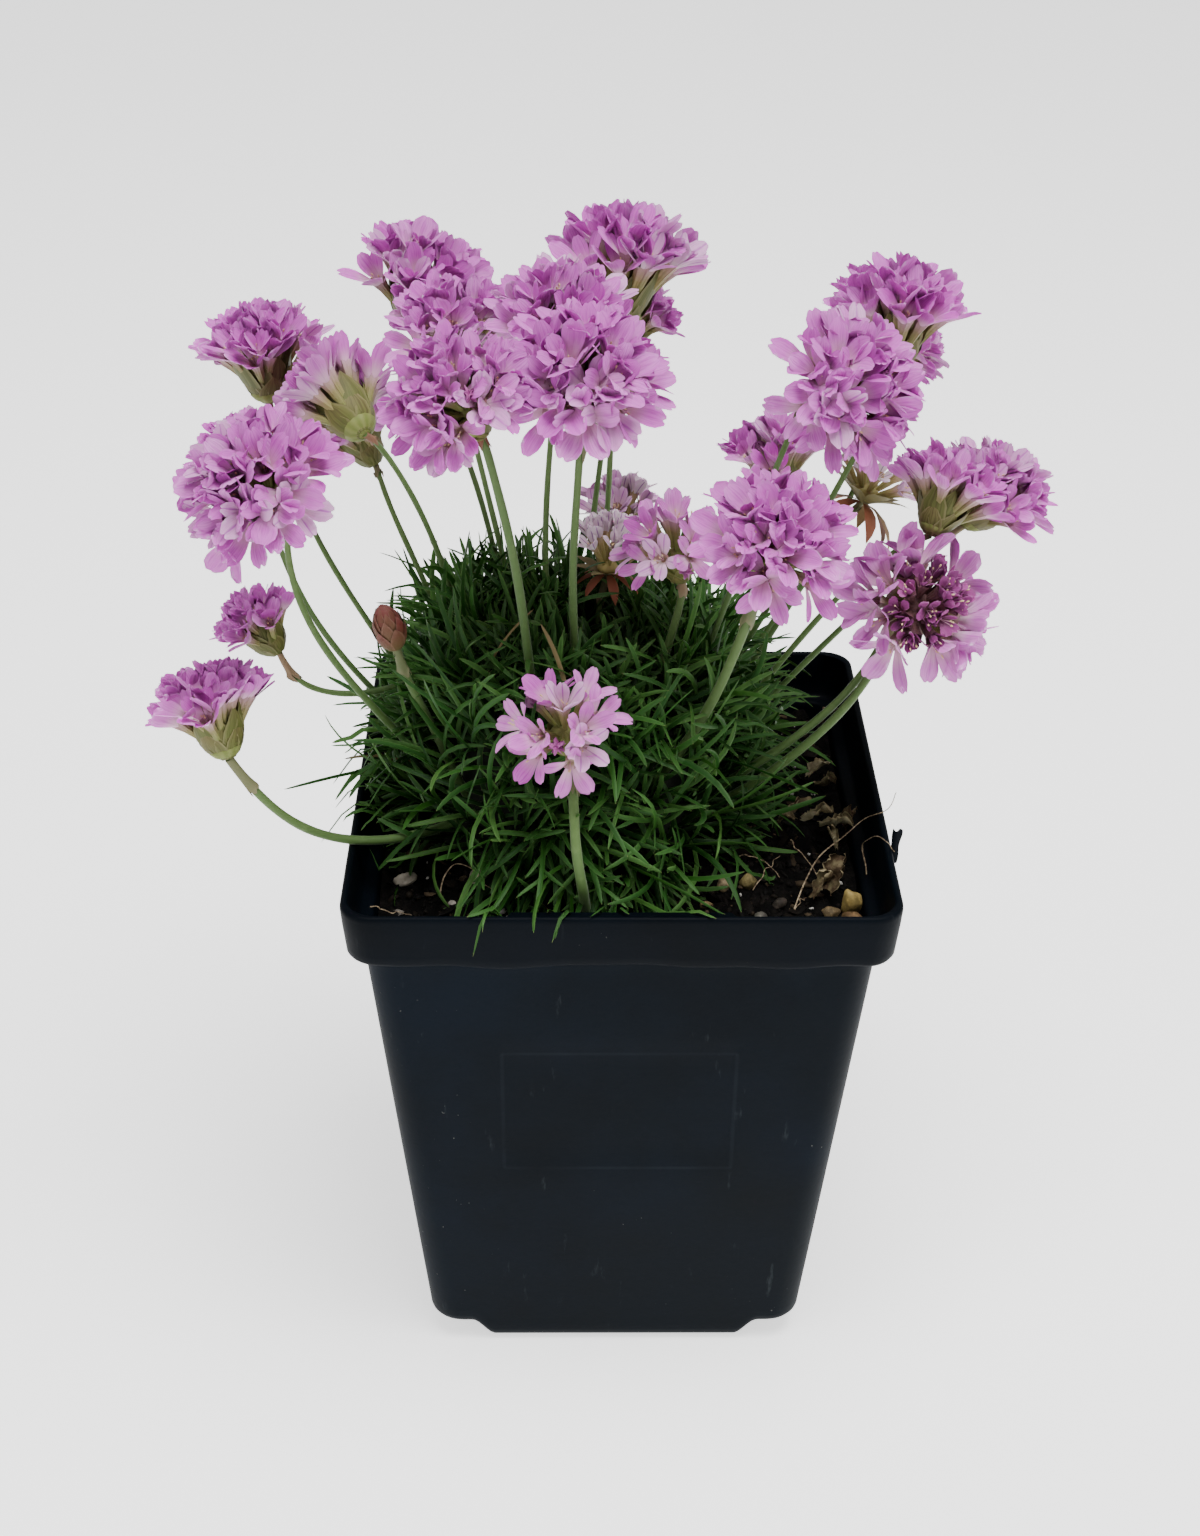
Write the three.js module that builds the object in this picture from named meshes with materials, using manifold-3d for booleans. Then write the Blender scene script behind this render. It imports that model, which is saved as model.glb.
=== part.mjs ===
// A potted sea thrift: a square nursery pot, its potting mix, a tight cushion of
// narrow leaves, and flower heads on thin leafless stalks (scapes).
// Millimetres, +Z up, +X to the right, the front of the pot at -Y.
// The origin is the middle of the pot's underside.

import * as THREE from 'three';
import { mergeVertices } from 'three/addons/utils/BufferGeometryUtils.js';
import Module from 'manifold-3d';

const wasm = await Module();
wasm.setup();

// Pot: blow-moulded square pot with an outward collar under its rim.
const potHeight = 101.6;
const rimHalf = 44.45;
const collarHeight = 10;
const collarFootHalf = 43.8;
const shoulderHalf = 41.3;
const footHalf = 32.9;
const wall = 1.2;
const floorThickness = 1.6;
const cornerRadius = 5;

// The middle of each side stands on the bench, and the four corners are raised.
const standHalf = 21.8;
const cornerRaise = 3.7;
const cornerSlope = 3.8;
const drainRadius = 3;
const drainCentre = 26.2;

// A flat pad inside the middle of the front rim makes the wall double there.
const padWidth = 35;
const padCentreX = 0;
const padThickness = 1.4;
const padHeight = 9;

// Potting mix.
const gap = 0.3;
const mixTop = 90.6;
const moundRadius = 37;
const moundHeight = 2.6;

// Crown: the dense heart of short woody stems that the leaves and scapes grow from.
const crownX = -8;
const crownY = 2;
const crownFoot = 93.5;
const crownRadius = 27;
const crownHeight = 29;

// Leaf cushion: a skin of crowded leaves over the crown, with leaves that stand out of it.
const cushionRadius = 31;
const cushionHeight = 33;
const domeSides = 16;
const domeSteps = 5;
const leafCount = 84;
const leafLength = 15;
const leafLengthSpread = [0.75, 1.15];
const leafWidth = 1.7;
const leafDroop = 0.12;
const leafRootShare = 0.9;
const leafRootHeightShare = 0.82;
const leafRootRaise = 2;
const leafLeanShare = 0.93;

// Scapes and flower heads.
const scapeRadius = 0.8;
const scapeSides = 5;
const scapeSteps = 6;
const sheathRadius = 1.1;
const sheathStart = 0.8;
const sheathEnd = 0.99;
const neckRoom = 0.12;
const neckShare = 1.05;
const budNeckShare = 1.4;
const budRadius = 6;

// A head's section, as shares of its radius: the cone of calyces, then the ball of florets.
const bloomSides = 10;
const neckRadius = 1.2;
const calyxShare = 0.42;
const calyxDrop = 0.45;
const ballShare = 0.86;
const ballSection = [[0.8, -0.38], [1, 0], [0.7, 0.6], [0, 0.82]];

// Each flower head: the middle of its ball of florets, the ball's radius, the way it
// faces, the scape's foot in the crown, and the scape's middle. A scape bends in a
// parabola through its foot, its middle and the neck under its head.
const flowers = {
  top_middle: [[2, 26, 186], 12, [0.1, 0, 1], [-5, 12, 98], [-2.5, 17, 139]],
  top_left: [[-32, 32, 181], 11, [0.25, 0.1, 1], [-16, 13, 98], [-22, 19, 137]],
  in_bud: [[-27, 12, 181], 8.5, [0.1, -0.15, 1], [-14, 8, 98], [-19.5, 10, 138]],
  upper_middle: [[-10, 4, 184], 9.8, [0, -0.25, 1], [-11, 4, 98], [-12, 4, 147]],
  behind_top: [[5, 38, 171], 7, [0.5, 0.3, 1], [-5, 16, 98], [-4.5, 23, 138]],
  front_middle: [[-5, -18, 180], 11.6, [0.05, -0.4, 1], [-6, -7, 98], [-7.5, -11, 140]],
  front_left: [[-25, -22, 176.5], 11, [-0.5, -0.4, 0.8], [-12, -10, 98], [-17, -16, 148]],
  turned_away: [[-45, 10, 166], 9, [-0.75, 0.5, 0.5], [-20, 6, 98], [-31.5, 8, 142]],
  behind_turned: [[-45, 24, 155], 7, [-0.5, 0.3, 0.8], [-21, 10, 98], [-34.5, 14, 134]],
  far_left: [[-60, 18, 173], 9.8, [-0.1, 0, 1], [-24, 9, 98], [-46.5, 13, 130]],
  left_open: [[-54, -24, 163], 12, [-0.3, -0.7, 0.7], [-24, -5, 98], [-46.5, -13, 131]],
  left_behind: [[-60, -1, 161.5], 9.5, [-0.3, 0, 1], [-25, 2, 98], [-48, -1, 128]],
  left_half: [[-60, -2, 133], 7, [-0.45, -0.1, 1], [-30, 0, 116], [-49.5, -3, 119]],
  left_low: [[-66, -24, 130], 8.8, [-0.35, -0.1, 1], [-24, -14, 102], [-46, -24, 103.5]],
  closed_bud: [[-37, -14, 137], 2.9, [-0.25, -0.1, 1], [-23, -10, 98], [-31, -12, 117]],
  low_front: [[-10, -34, 129], 9.8, [-0.15, -0.6, 0.8], [-6, -25, 97], [-6.5, -30, 106]],
  faded: [[1, 36, 136], 6.5, [0, 0.1, 1], [-3, 20, 98], [0, 29, 117]],
  dry: [[-4, 6, 139], 4.8, [0, 0, 1], [-5, 1, 98], [-4.5, 4, 120]],
  middle_few: [[6, -8, 149], 8.2, [-0.25, -0.3, 1], [0, -3, 98], [7.5, -6, 127]],
  right_open: [[23, -26, 156], 12, [0.15, -0.55, 0.9], [-3, -13, 98], [11, -18, 119]],
  right_behind: [[27, 24, 151], 10, [-0.1, 0.2, 1], [6, 14, 98], [19.5, 19, 129]],
  right_upper: [[34, -8, 176], 12, [0.55, -0.55, 0.6], [6, -1, 98], [20.5, -3, 147]],
  top_right: [[44, 18, 180], 10.5, [0, 0, 1], [9, 9, 98], [34.5, 10, 147]],
  behind_right: [[53, 35, 165], 7.4, [0.5, 0.4, 0.8], [10, 13, 98], [38, 24, 138]],
  spent: [[45, 19, 151], 6.5, [0.4, 0.2, 0.8], [12, 6, 98], [31, 14, 130]],
  right_side: [[49, -2, 156], 7.4, [-0.1, 0.1, 1], [12, 0, 98], [33, 1, 131]],
  far_right: [[62, 6, 153], 9.4, [0.45, -0.1, 0.9], [14, 4, 98], [37, 6, 126]],
  low_right: [[49, -16, 140], 12.5, [0.3, -0.75, 0.6], [11, -10, 98], [33, -12, 116.5]],
};

const group = new THREE.Group();

function material(color, roughness) {
  return new THREE.MeshStandardMaterial({ color, roughness, metalness: 0 });
}

// The same sequence of numbers between 0 and 1 on every run.
function makeRandom(seed) {
  let state = seed;
  return () => {
    state = (state * 16807) % 2147483647;
    return state / 2147483647;
  };
}

// A closed geometry as a solid that can be joined and cut.
function solid(geometry) {
  const bare = geometry.clone();
  for (const name of Object.keys(bare.attributes)) {
    if (name !== 'position') bare.deleteAttribute(name);
  }
  const welded = mergeVertices(bare, 1e-4);
  return new wasm.Manifold(new wasm.Mesh({
    numProp: 3,
    vertProperties: new Float32Array(welded.attributes.position.array),
    triVerts: new Uint32Array(welded.index.array),
  }));
}

function geometryOf(body) {
  const mesh = body.getMesh();
  const geometry = new THREE.BufferGeometry();
  geometry.setAttribute('position', new THREE.BufferAttribute(mesh.vertProperties, 3));
  geometry.setIndex(new THREE.BufferAttribute(mesh.triVerts, 1));
  geometry.computeVertexNormals();
  return geometry;
}

// The largest separate body, so that no clipped leaf tip is left loose.
function largest(body) {
  return body.decompose().reduce((best, one) => (one.volume() > best.volume() ? one : best));
}

function add(name, geometry, finish) {
  const mesh = new THREE.Mesh(geometry, finish);
  mesh.name = name;
  group.add(mesh);
}

// A square block with round corners that widens from its bottom to its top.
function taperedBlock(bottomHalf, topHalf, bottom, top, radius) {
  const edge = 1 - radius / topHalf;
  const shape = new THREE.Shape();
  shape.moveTo(edge, -1);
  shape.absarc(edge, -edge, 1 - edge, -Math.PI / 2, 0);
  shape.absarc(edge, edge, 1 - edge, 0, Math.PI / 2);
  shape.absarc(-edge, edge, 1 - edge, Math.PI / 2, Math.PI);
  shape.absarc(-edge, -edge, 1 - edge, Math.PI, Math.PI * 1.5);
  const geometry = new THREE.ExtrudeGeometry(shape, {
    depth: top - bottom, bevelEnabled: false, curveSegments: 4,
  });
  const place = geometry.attributes.position;
  for (let i = 0; i < place.count; i += 1) {
    const share = place.getZ(i) / (top - bottom);
    const half = bottomHalf + (topHalf - bottomHalf) * share;
    place.setXYZ(i, place.getX(i) * half, place.getY(i) * half, bottom + place.getZ(i));
  }
  return geometry;
}

// One corner of the floor: a block with sloping inner sides, raised by lift.
function cornerBlock(turn, bottom, top, slopeShift) {
  const low = standHalf + slopeShift;
  const high = low + cornerSlope;
  const far = rimHalf;
  const shape = new THREE.Shape([
    new THREE.Vector2(0, 0), new THREE.Vector2(far, 0),
    new THREE.Vector2(far, far), new THREE.Vector2(0, far),
  ]);
  const geometry = new THREE.ExtrudeGeometry(shape, { depth: 1, bevelEnabled: false });
  const place = geometry.attributes.position;
  for (let i = 0; i < place.count; i += 1) {
    const share = place.getZ(i);
    const inner = low + (high - low) * share;
    const x = place.getX(i) === 0 ? inner : far;
    const y = place.getY(i) === 0 ? inner : far;
    place.setXYZ(i, x, y, bottom + (top - bottom) * share);
  }
  geometry.rotateZ(turn);
  return geometry;
}

function boxBetween(low, high) {
  const size = high.map((value, i) => value - low[i]);
  const box = new THREE.BoxGeometry(...size);
  return box.translate(...low.map((value, i) => value + size[i] / 2));
}

// Half width of the outside of the pot's body at a height.
function bodyHalf(height) {
  return footHalf + (shoulderHalf - footHalf) * (height / (potHeight - collarHeight));
}

const turns = [0, 1, 2, 3].map((quarter) => quarter * Math.PI / 2);
const ledge = potHeight - collarHeight;

// Pot.
{
  const bodyTop = ledge + wall;
  let pot = solid(taperedBlock(footHalf, bodyHalf(bodyTop), 0, bodyTop, cornerRadius));
  pot = pot.add(solid(taperedBlock(collarFootHalf, rimHalf, ledge, potHeight, cornerRadius)));
  let hollow = solid(taperedBlock(
    bodyHalf(floorThickness) - wall, bodyHalf(bodyTop + 1) - wall,
    floorThickness, bodyTop + 1, cornerRadius - wall,
  ));
  for (const turn of turns) {
    pot = pot.subtract(solid(cornerBlock(turn, -0.01, cornerRaise, 0)));
    hollow = hollow.subtract(solid(cornerBlock(turn, 0, cornerRaise + floorThickness, -floorThickness)));
  }
  const collarHollow = taperedBlock(
    collarFootHalf - wall, rimHalf - wall, bodyTop, potHeight + 0.01, cornerRadius - wall,
  );
  pot = pot.subtract(hollow).subtract(solid(collarHollow));
  const padInside = -(collarFootHalf - wall - padThickness);
  const pad = boxBetween(
    [padCentreX - padWidth / 2, -collarFootHalf + wall / 2, potHeight - padHeight],
    [padCentreX + padWidth / 2, padInside, potHeight],
  );
  pot = pot.add(solid(pad));
  for (const turn of turns) {
    const drain = new THREE.CylinderGeometry(drainRadius, drainRadius, 12, 16);
    drain.rotateX(Math.PI / 2);
    drain.translate(drainCentre, drainCentre, cornerRaise);
    drain.rotateZ(turn);
    pot = pot.subtract(solid(drain));
  }
  add('pot', geometryOf(pot), material(0x1a2128, 0.45));
}

// Potting mix: fills the pot to just under the ledge, with a low mound round the crown.
{
  const inner = taperedBlock(
    bodyHalf(floorThickness + gap) - wall - gap, bodyHalf(mixTop) - wall - gap,
    floorThickness + gap, mixTop, cornerRadius - wall,
  );
  let mix = solid(inner);
  const arc = [];
  for (let i = 0; i <= 5; i += 1) {
    const angle = (i / 5) * Math.PI / 2;
    arc.push(new THREE.Vector2(moundRadius * Math.cos(angle), 1 + moundHeight * Math.sin(angle)));
  }
  const mound = new THREE.LatheGeometry(
    [
      new THREE.Vector2(0, 0), new THREE.Vector2(moundRadius, 0),
      ...arc.slice(0, -1), new THREE.Vector2(0, 1 + moundHeight),
    ],
    24,
  );
  mound.rotateX(Math.PI / 2);
  mound.translate(0, 0, mixTop - 1);
  mix = mix.add(solid(mound));
  const lift = cornerRaise + floorThickness + gap;
  for (const turn of turns) {
    mix = mix.subtract(solid(cornerBlock(turn, 0, lift, -floorThickness - gap)));
  }
  add('potting_mix', geometryOf(mix), material(0x18130f, 0.95));
}

// The radius of a many-sided tube that keeps the usual gap round a tube of the same sides.
function clearOf(radius) {
  return (radius + gap) / Math.cos(Math.PI / scapeSides);
}

// A scape's route: the parabola through its foot, its middle and its neck.
function routeOf(foot, middle, neck) {
  const [start, through, end] = [foot, middle, neck].map((point) => new THREE.Vector3(...point));
  const pull = through.clone().multiplyScalar(2).addScaledVector(start, -0.5).addScaledVector(end, -0.5);
  return new THREE.QuadraticBezierCurve3(start, pull, end);
}

// A closed tube along part of a route.
function tube(route, from, to, radius, steps) {
  const points = [];
  for (let i = 0; i <= steps; i += 1) points.push(route.getPoint(from + (to - from) * (i / steps)));
  const outline = [];
  for (let i = 0; i < scapeSides; i += 1) {
    const angle = (i / scapeSides) * Math.PI * 2;
    outline.push(new THREE.Vector2(radius * Math.cos(angle), radius * Math.sin(angle)));
  }
  return new THREE.ExtrudeGeometry(new THREE.Shape(outline), {
    steps, bevelEnabled: false, extrudePath: new THREE.CatmullRomCurve3(points),
  });
}

function scapeBody(route) {
  return solid(tube(route, 0, 1, scapeRadius, scapeSteps))
    .add(solid(tube(route, sheathStart, sheathEnd, sheathRadius, 2)));
}

function placedAlong(geometry, centre, axis) {
  const turn = new THREE.Quaternion().setFromUnitVectors(new THREE.Vector3(0, 0, 1), axis);
  geometry.applyQuaternion(turn);
  geometry.translate(centre.x, centre.y, centre.z);
  return geometry;
}

// A flower head: a cone of green calyces under a flattened ball of florets.
function bloomGeometry(centre, axis, radius, base) {
  const ball = radius * ballShare;
  const profile = [
    new THREE.Vector2(0, base),
    new THREE.Vector2(neckRadius, base),
    new THREE.Vector2(radius * calyxShare, -radius * calyxDrop),
    ...ballSection.map(([out, up]) => new THREE.Vector2(ball * out, ball * up)),
  ];
  const head = new THREE.LatheGeometry(profile, bloomSides);
  head.rotateX(Math.PI / 2);
  return placedAlong(head, centre, axis);
}

const routes = [];
for (const [name, [place, radius, facing, foot, middle]] of Object.entries(flowers)) {
  const centre = new THREE.Vector3(...place);
  const axis = new THREE.Vector3(...facing).normalize();
  const neckDrop = radius * (radius < budRadius ? budNeckShare : neckShare);
  const neck = centre.clone().addScaledVector(axis, -neckDrop);
  const route = routeOf(foot, middle, neck.toArray());
  routes.push(route);
  add(`scape_${name}`, geometryOf(scapeBody(route)), material(0x5b7a45, 0.6));
  const tilt = route.getTangent(1).angleTo(axis);
  const base = -neckDrop + gap + neckRoom + sheathRadius * Math.sin(tilt);
  add(`bloom_${name}`, bloomGeometry(centre, axis, radius, base), material(0xbe6ec3, 0.6));
}

// One leaf: a slim three-sided spike that leans out from its root.
function leafGeometry(root, heading, lean, length) {
  const leaf = new THREE.ConeGeometry(leafWidth / 2, length, 3, 1);
  leaf.rotateX(Math.PI / 2);
  leaf.translate(0, 0, length / 2);
  const place = leaf.attributes.position;
  for (let i = 0; i < place.count; i += 1) {
    const along = place.getZ(i) / length;
    place.setX(i, place.getX(i) + length * leafDroop * along * along);
  }
  leaf.rotateY(lean);
  leaf.rotateZ(heading);
  return leaf.translate(...root);
}

// A half dome standing on the crown's foot.
function domeGeometry(radius, height) {
  const profile = [new THREE.Vector2(0, 0)];
  for (let i = 0; i < domeSteps; i += 1) {
    const angle = (i / domeSteps) * Math.PI / 2;
    profile.push(new THREE.Vector2(radius * Math.cos(angle), height * Math.sin(angle)));
  }
  profile.push(new THREE.Vector2(0, height));
  const dome = new THREE.LatheGeometry(profile, domeSides);
  dome.rotateX(Math.PI / 2);
  return dome.translate(crownX, crownY, crownFoot);
}

// The room that the scapes need: round their stalks, their sheaths and their feet.
const scapeRoom = wasm.Manifold.union(routes.flatMap((route) => {
  const foot = new THREE.SphereGeometry(clearOf(scapeRadius) * 1.1, 6, 4);
  return [
    solid(tube(route, 0, 1, clearOf(scapeRadius), scapeSteps)),
    solid(tube(route, sheathStart - 0.03, 1, clearOf(sheathRadius), 3)),
    solid(foot.translate(...route.getPoint(0).toArray())),
  ];
}));

// Crown.
const crown = solid(domeGeometry(crownRadius, crownHeight)).subtract(scapeRoom);
add('crown', geometryOf(largest(crown)), material(0x2a2c16, 0.9));

// Leaf cushion: a dome-shaped skin with the outer leaves standing out of it.
{
  const random = makeRandom(41);
  const golden = Math.PI * (3 - Math.sqrt(5));
  const [shortest, longest] = leafLengthSpread;
  const leaves = [];
  for (let i = 0; i < leafCount; i += 1) {
    const rise = (i + 0.5) / leafCount;
    const lean = Math.acos(rise * 0.96 + 0.02) * leafLeanShare;
    const heading = i * golden;
    const reach = cushionRadius * leafRootShare * Math.sin(lean);
    const root = [
      crownX + reach * Math.cos(heading),
      crownY + reach * Math.sin(heading),
      crownFoot + leafRootRaise + cushionHeight * leafRootHeightShare * Math.cos(lean),
    ];
    const length = leafLength * (shortest + (longest - shortest) * random());
    leaves.push(solid(leafGeometry(root, heading, lean, length)));
  }
  const skin = solid(domeGeometry(cushionRadius, cushionHeight)).add(wasm.Manifold.union(leaves));
  const inside = collarFootHalf - wall - gap - padThickness;
  const outside = rimHalf + gap;
  const rimRoom = solid(taperedBlock(outside, outside, mixTop - 4, potHeight + gap, cornerRadius))
    .subtract(solid(taperedBlock(inside, inside, mixTop - 5, potHeight + 1, cornerRadius)));
  const room = gap * 1.2;
  const crownRoom = solid(domeGeometry(crownRadius + room, crownHeight + room).translate(0, 0, -0.01));
  const cushion = skin.subtract(rimRoom).subtract(crownRoom).subtract(scapeRoom);
  add('leaf_cushion', geometryOf(largest(cushion)), material(0x2c5a1e, 0.7));
}

export default group;
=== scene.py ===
import math

import bpy
import numpy as np
from mathutils import Matrix, Vector


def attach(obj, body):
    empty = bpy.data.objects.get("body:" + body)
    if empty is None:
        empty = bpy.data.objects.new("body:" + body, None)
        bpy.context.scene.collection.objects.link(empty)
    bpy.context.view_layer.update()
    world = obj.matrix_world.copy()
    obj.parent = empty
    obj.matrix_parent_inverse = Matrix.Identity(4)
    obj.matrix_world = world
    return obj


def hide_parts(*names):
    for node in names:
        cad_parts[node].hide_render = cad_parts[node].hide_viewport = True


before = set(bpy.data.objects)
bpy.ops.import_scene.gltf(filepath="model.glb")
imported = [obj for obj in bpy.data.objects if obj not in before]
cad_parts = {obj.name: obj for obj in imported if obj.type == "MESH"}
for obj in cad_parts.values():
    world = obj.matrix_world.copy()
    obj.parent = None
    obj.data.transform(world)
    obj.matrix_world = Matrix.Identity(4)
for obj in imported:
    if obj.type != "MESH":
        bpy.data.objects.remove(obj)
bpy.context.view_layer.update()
MM = 0.001
link = bpy.context.scene.collection.objects.link

# Camera: a little above and in front of the plant, looking down at it, with the whole
# frame of 1200 by 1536 pixels. The sizes are those that make the pot's edges fit.
IMAGE_HEIGHT = 1536
FOCAL_PIXELS = 2260
SENSOR = 36
CAMERA_TARGET = Vector((-3.1, 0, 102.3)) * MM
CAMERA_DISTANCE = 389.3 * MM
CAMERA_ELEVATION = math.radians(31.07)
CAMERA_YAW = math.radians(-0.79)
CAMERA_ROLL = math.radians(0.5)

camera = bpy.data.objects.new("camera", bpy.data.cameras.new("camera"))
link(camera)
camera.data.sensor_fit = "VERTICAL"
camera.data.sensor_height = SENSOR
camera.data.lens = FOCAL_PIXELS * SENSOR / IMAGE_HEIGHT
camera.data.clip_start = 0.01
back = Vector((
    math.sin(CAMERA_YAW) * math.cos(CAMERA_ELEVATION),
    -math.cos(CAMERA_YAW) * math.cos(CAMERA_ELEVATION),
    math.sin(CAMERA_ELEVATION),
))
level_right = (-back).cross(Vector((0, 0, 1))).normalized()
level_up = back.cross(level_right)
right = level_right * math.cos(CAMERA_ROLL) + level_up * math.sin(CAMERA_ROLL)
up = level_up * math.cos(CAMERA_ROLL) - level_right * math.sin(CAMERA_ROLL)
camera.matrix_world = Matrix.Translation(CAMERA_TARGET + back * CAMERA_DISTANCE) @ Matrix(
    (right, up, back)
).transposed().to_4x4()
bpy.context.scene.camera = camera


# Pot: a thin square nursery pot, blow-moulded in black plastic. A collar steps out under
# its rim, its corners are round, and the corners of its floor are raised over drain holes.
POT_HEIGHT = 101.6
RIM_HALF = 44.45
COLLAR_HEIGHT = 10
COLLAR_FOOT_HALF = 43.8
SHOULDER_HALF = 41.3
FOOT_HALF = 32.9
WALL = 1.2
FLOOR = 1.6
CORNER_RADIUS = 5
STAND_HALF = 21.8
CORNER_RAISE = 3.7
CORNER_SLOPE = 3.8
FOOT_ROUND = 3.2
DRAIN_RADIUS = 3
DRAIN_CENTRE = 26.2
DRILL_SIDES = 24
PAD_HALF_WIDTH = 17.5
PAD_THICKNESS = 1.4
PAD_HEIGHT = 9
PANEL_HALF_WIDTH = 19.4
PANEL_LOW = 44.5
PANEL_HIGH = 71
PANEL_DEPTH = 0.22
RING_POINTS = 384
SHARP_ANGLE = math.radians(65)


def smooth_step(low, high, value):
    """0 below low, 1 above high, and an S curve, 3 t squared less 2 t cubed, between."""
    share = np.clip((value - low) / (high - low), 0, 1)
    return share * share * (3 - 2 * share)


class Wire:
    """One output of a node. Sums, products and other sums on wires add Math nodes."""

    def __init__(self, finish, socket):
        self.finish = finish
        self.socket = socket

    def math(self, operation, *terms):
        return self.finish.node("Math", {"operation": operation}, dict(enumerate(terms)))

    def __add__(self, other):
        return self.math("ADD", self, other)

    def __sub__(self, other):
        return self.math("SUBTRACT", self, other)

    def __rsub__(self, other):
        return self.math("SUBTRACT", other, self)

    def __mul__(self, other):
        return self.math("MULTIPLY", self, other)

    __radd__ = __add__
    __rmul__ = __mul__

    def __abs__(self):
        return self.math("ABSOLUTE", self)

    def sine(self):
        return self.math("SINE", self)

    def between(self, low, high):
        """0 where this is at low, 1 where it is at high, and an S curve between them."""
        settings = {"interpolation_type": "SMOOTHSTEP"}
        return self.finish.node("MapRange", settings, {0: self, 1: low, 2: high, 3: 0.0, 4: 1.0})


class Finish:
    """One material, and the one method that adds any node to it."""

    def __init__(self, name):
        self.material = bpy.data.materials.new(name)
        self.material.use_nodes = True
        self.tree = self.material.node_tree
        self.tree.nodes.clear()

    def node(self, kind, settings=None, sockets=None, out=0):
        made = self.tree.nodes.new("ShaderNode" + kind)
        for name, value in (settings or {}).items():
            if name == "stops":
                ramp = made.color_ramp.elements
                while len(ramp) < len(value):
                    ramp.new(0.5)
                for element, (place, colour) in zip(ramp, value):
                    element.position = place
                    element.color = (*colour, 1.0)
            else:
                setattr(made, name, value)
        for key, value in (sockets or {}).items():
            if isinstance(value, Wire):
                self.tree.links.new(value.socket, made.inputs[key])
            elif made.inputs[key].type == "RGBA" and len(value) == 3:
                made.inputs[key].default_value = (*value, 1.0)
            else:
                made.inputs[key].default_value = value
        return Wire(self, made.outputs[out]) if len(made.outputs) else None

    def mix(self, share, low, high, blend="MIX"):
        settings = {"data_type": "RGBA", "blend_type": blend}
        return self.node("Mix", settings, {0: share, 6: low, 7: high}, out=2)

    def coats(self, colour, *coats):
        """A colour under coats, each given as its share and its own colour."""
        for share, over in coats:
            colour = self.mix(share, colour, over)
        return colour

    def ramp(self, value, *stops):
        return self.node("ValToRGB", {"stops": stops}, {0: value})

    def place(self):
        return self.node("TexCoord", out="Object")

    def noise(self, scale, detail=3.0, roughness=0.55, vector=None):
        sockets = {"Scale": scale, "Detail": detail, "Roughness": roughness}
        return self.node("TexNoise", {}, {**sockets, "Vector": vector or self.place()})

    def stretched(self, vector, x, y, z):
        """A vector with each of its numbers multiplied, which stretches a pattern."""
        return self.node("VectorMath", {"operation": "MULTIPLY"}, {0: vector, 1: (x, y, z)})

    def split(self, vector):
        """A vector, and each of its three numbers."""
        return vector, *(self.node("SeparateXYZ", {}, {0: vector}, out=axis) for axis in range(3))

    def attribute(self, name):
        """A piece's own attribute of three numbers: the vector, and each number."""
        return self.split(self.node("Attribute", {"attribute_name": name}, out="Vector"))

    def surface(self, colour, roughness, bump, strength=0.3, depth=0.0002, **constants):
        """Ends the material in a Principled shader. constants are set on its sockets."""
        sockets = {"Base Color": colour, "Roughness": roughness}
        sockets.update({name.replace("_", " "): value for name, value in constants.items()})
        height = {"Height": bump, "Strength": strength, "Distance": depth}
        sockets["Normal"] = self.node("Bump", {}, height)
        shader = self.node("BsdfPrincipled", {}, sockets)
        self.node("OutputMaterial", {}, {"Surface": shader})
        return self.material


def make_piece(name, points, faces, finishes, attributes=None, finish_index=None):
    """A mesh object at the origin, riding on the one body. points is (n, 3) in millimetres,
    and faces is a list of arrays of corner numbers, each array of one corner count.
    attributes maps a name to (n, 3). Faces that meet at a sharp angle are shaded apart."""
    mesh = bpy.data.meshes.new(name)
    mesh.vertices.add(len(points))
    mesh.vertices.foreach_set("co", (np.asarray(points, float) * MM).ravel())
    sizes = np.concatenate([np.full(len(part), part.shape[1]) for part in faces])
    corners = np.concatenate([part.ravel() for part in faces]).astype(np.int32)
    starts = np.concatenate([[0], np.cumsum(sizes)[:-1]]).astype(np.int32)
    mesh.loops.add(len(corners))
    mesh.loops.foreach_set("vertex_index", corners)
    mesh.polygons.add(len(sizes))
    mesh.polygons.foreach_set("loop_start", starts)
    mesh.polygons.foreach_set("use_smooth", np.ones(len(sizes), bool))
    for finish in finishes:
        mesh.materials.append(finish)
    if finish_index is not None:
        mesh.polygons.foreach_set("material_index", np.asarray(finish_index, np.int32))
    for key, values in (attributes or {}).items():
        layer = mesh.attributes.new(key, "FLOAT_VECTOR", "POINT")
        layer.data.foreach_set("vector", np.ascontiguousarray(values, np.float32).ravel())
    mesh.update(calc_edges=True)
    mesh.set_sharp_from_angle(angle=SHARP_ANGLE)
    piece = bpy.data.objects.new(name, mesh)
    link(piece)
    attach(piece, "root")
    return piece


def stacked(*values):
    """Arrays spread to one shape and stacked along a new last axis."""
    return np.stack(np.broadcast_arrays(*values), -1)


def turns(count, ahead=0):
    """Angles that share out a whole turn, moved on by a part of one share."""
    return (np.arange(count) + ahead) / count * 2 * np.pi


def fan(count, middle, first=0):
    """Triangles from a closed ring of count points, numbered from first, to a middle."""
    ring = first + np.arange(count)
    return stacked(ring, np.roll(ring, -1), middle)


def ring_faces(rings, points, first=0):
    """Quads between rings of a closed tube, each ring holding that many points."""
    ring, point = np.meshgrid(np.arange(rings - 1), np.arange(points), indexing="ij")
    near = first + ring * points + point
    beside = first + ring * points + (point + 1) % points
    return stacked(near, beside, beside + points, near + points).reshape(-1, 4)


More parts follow.
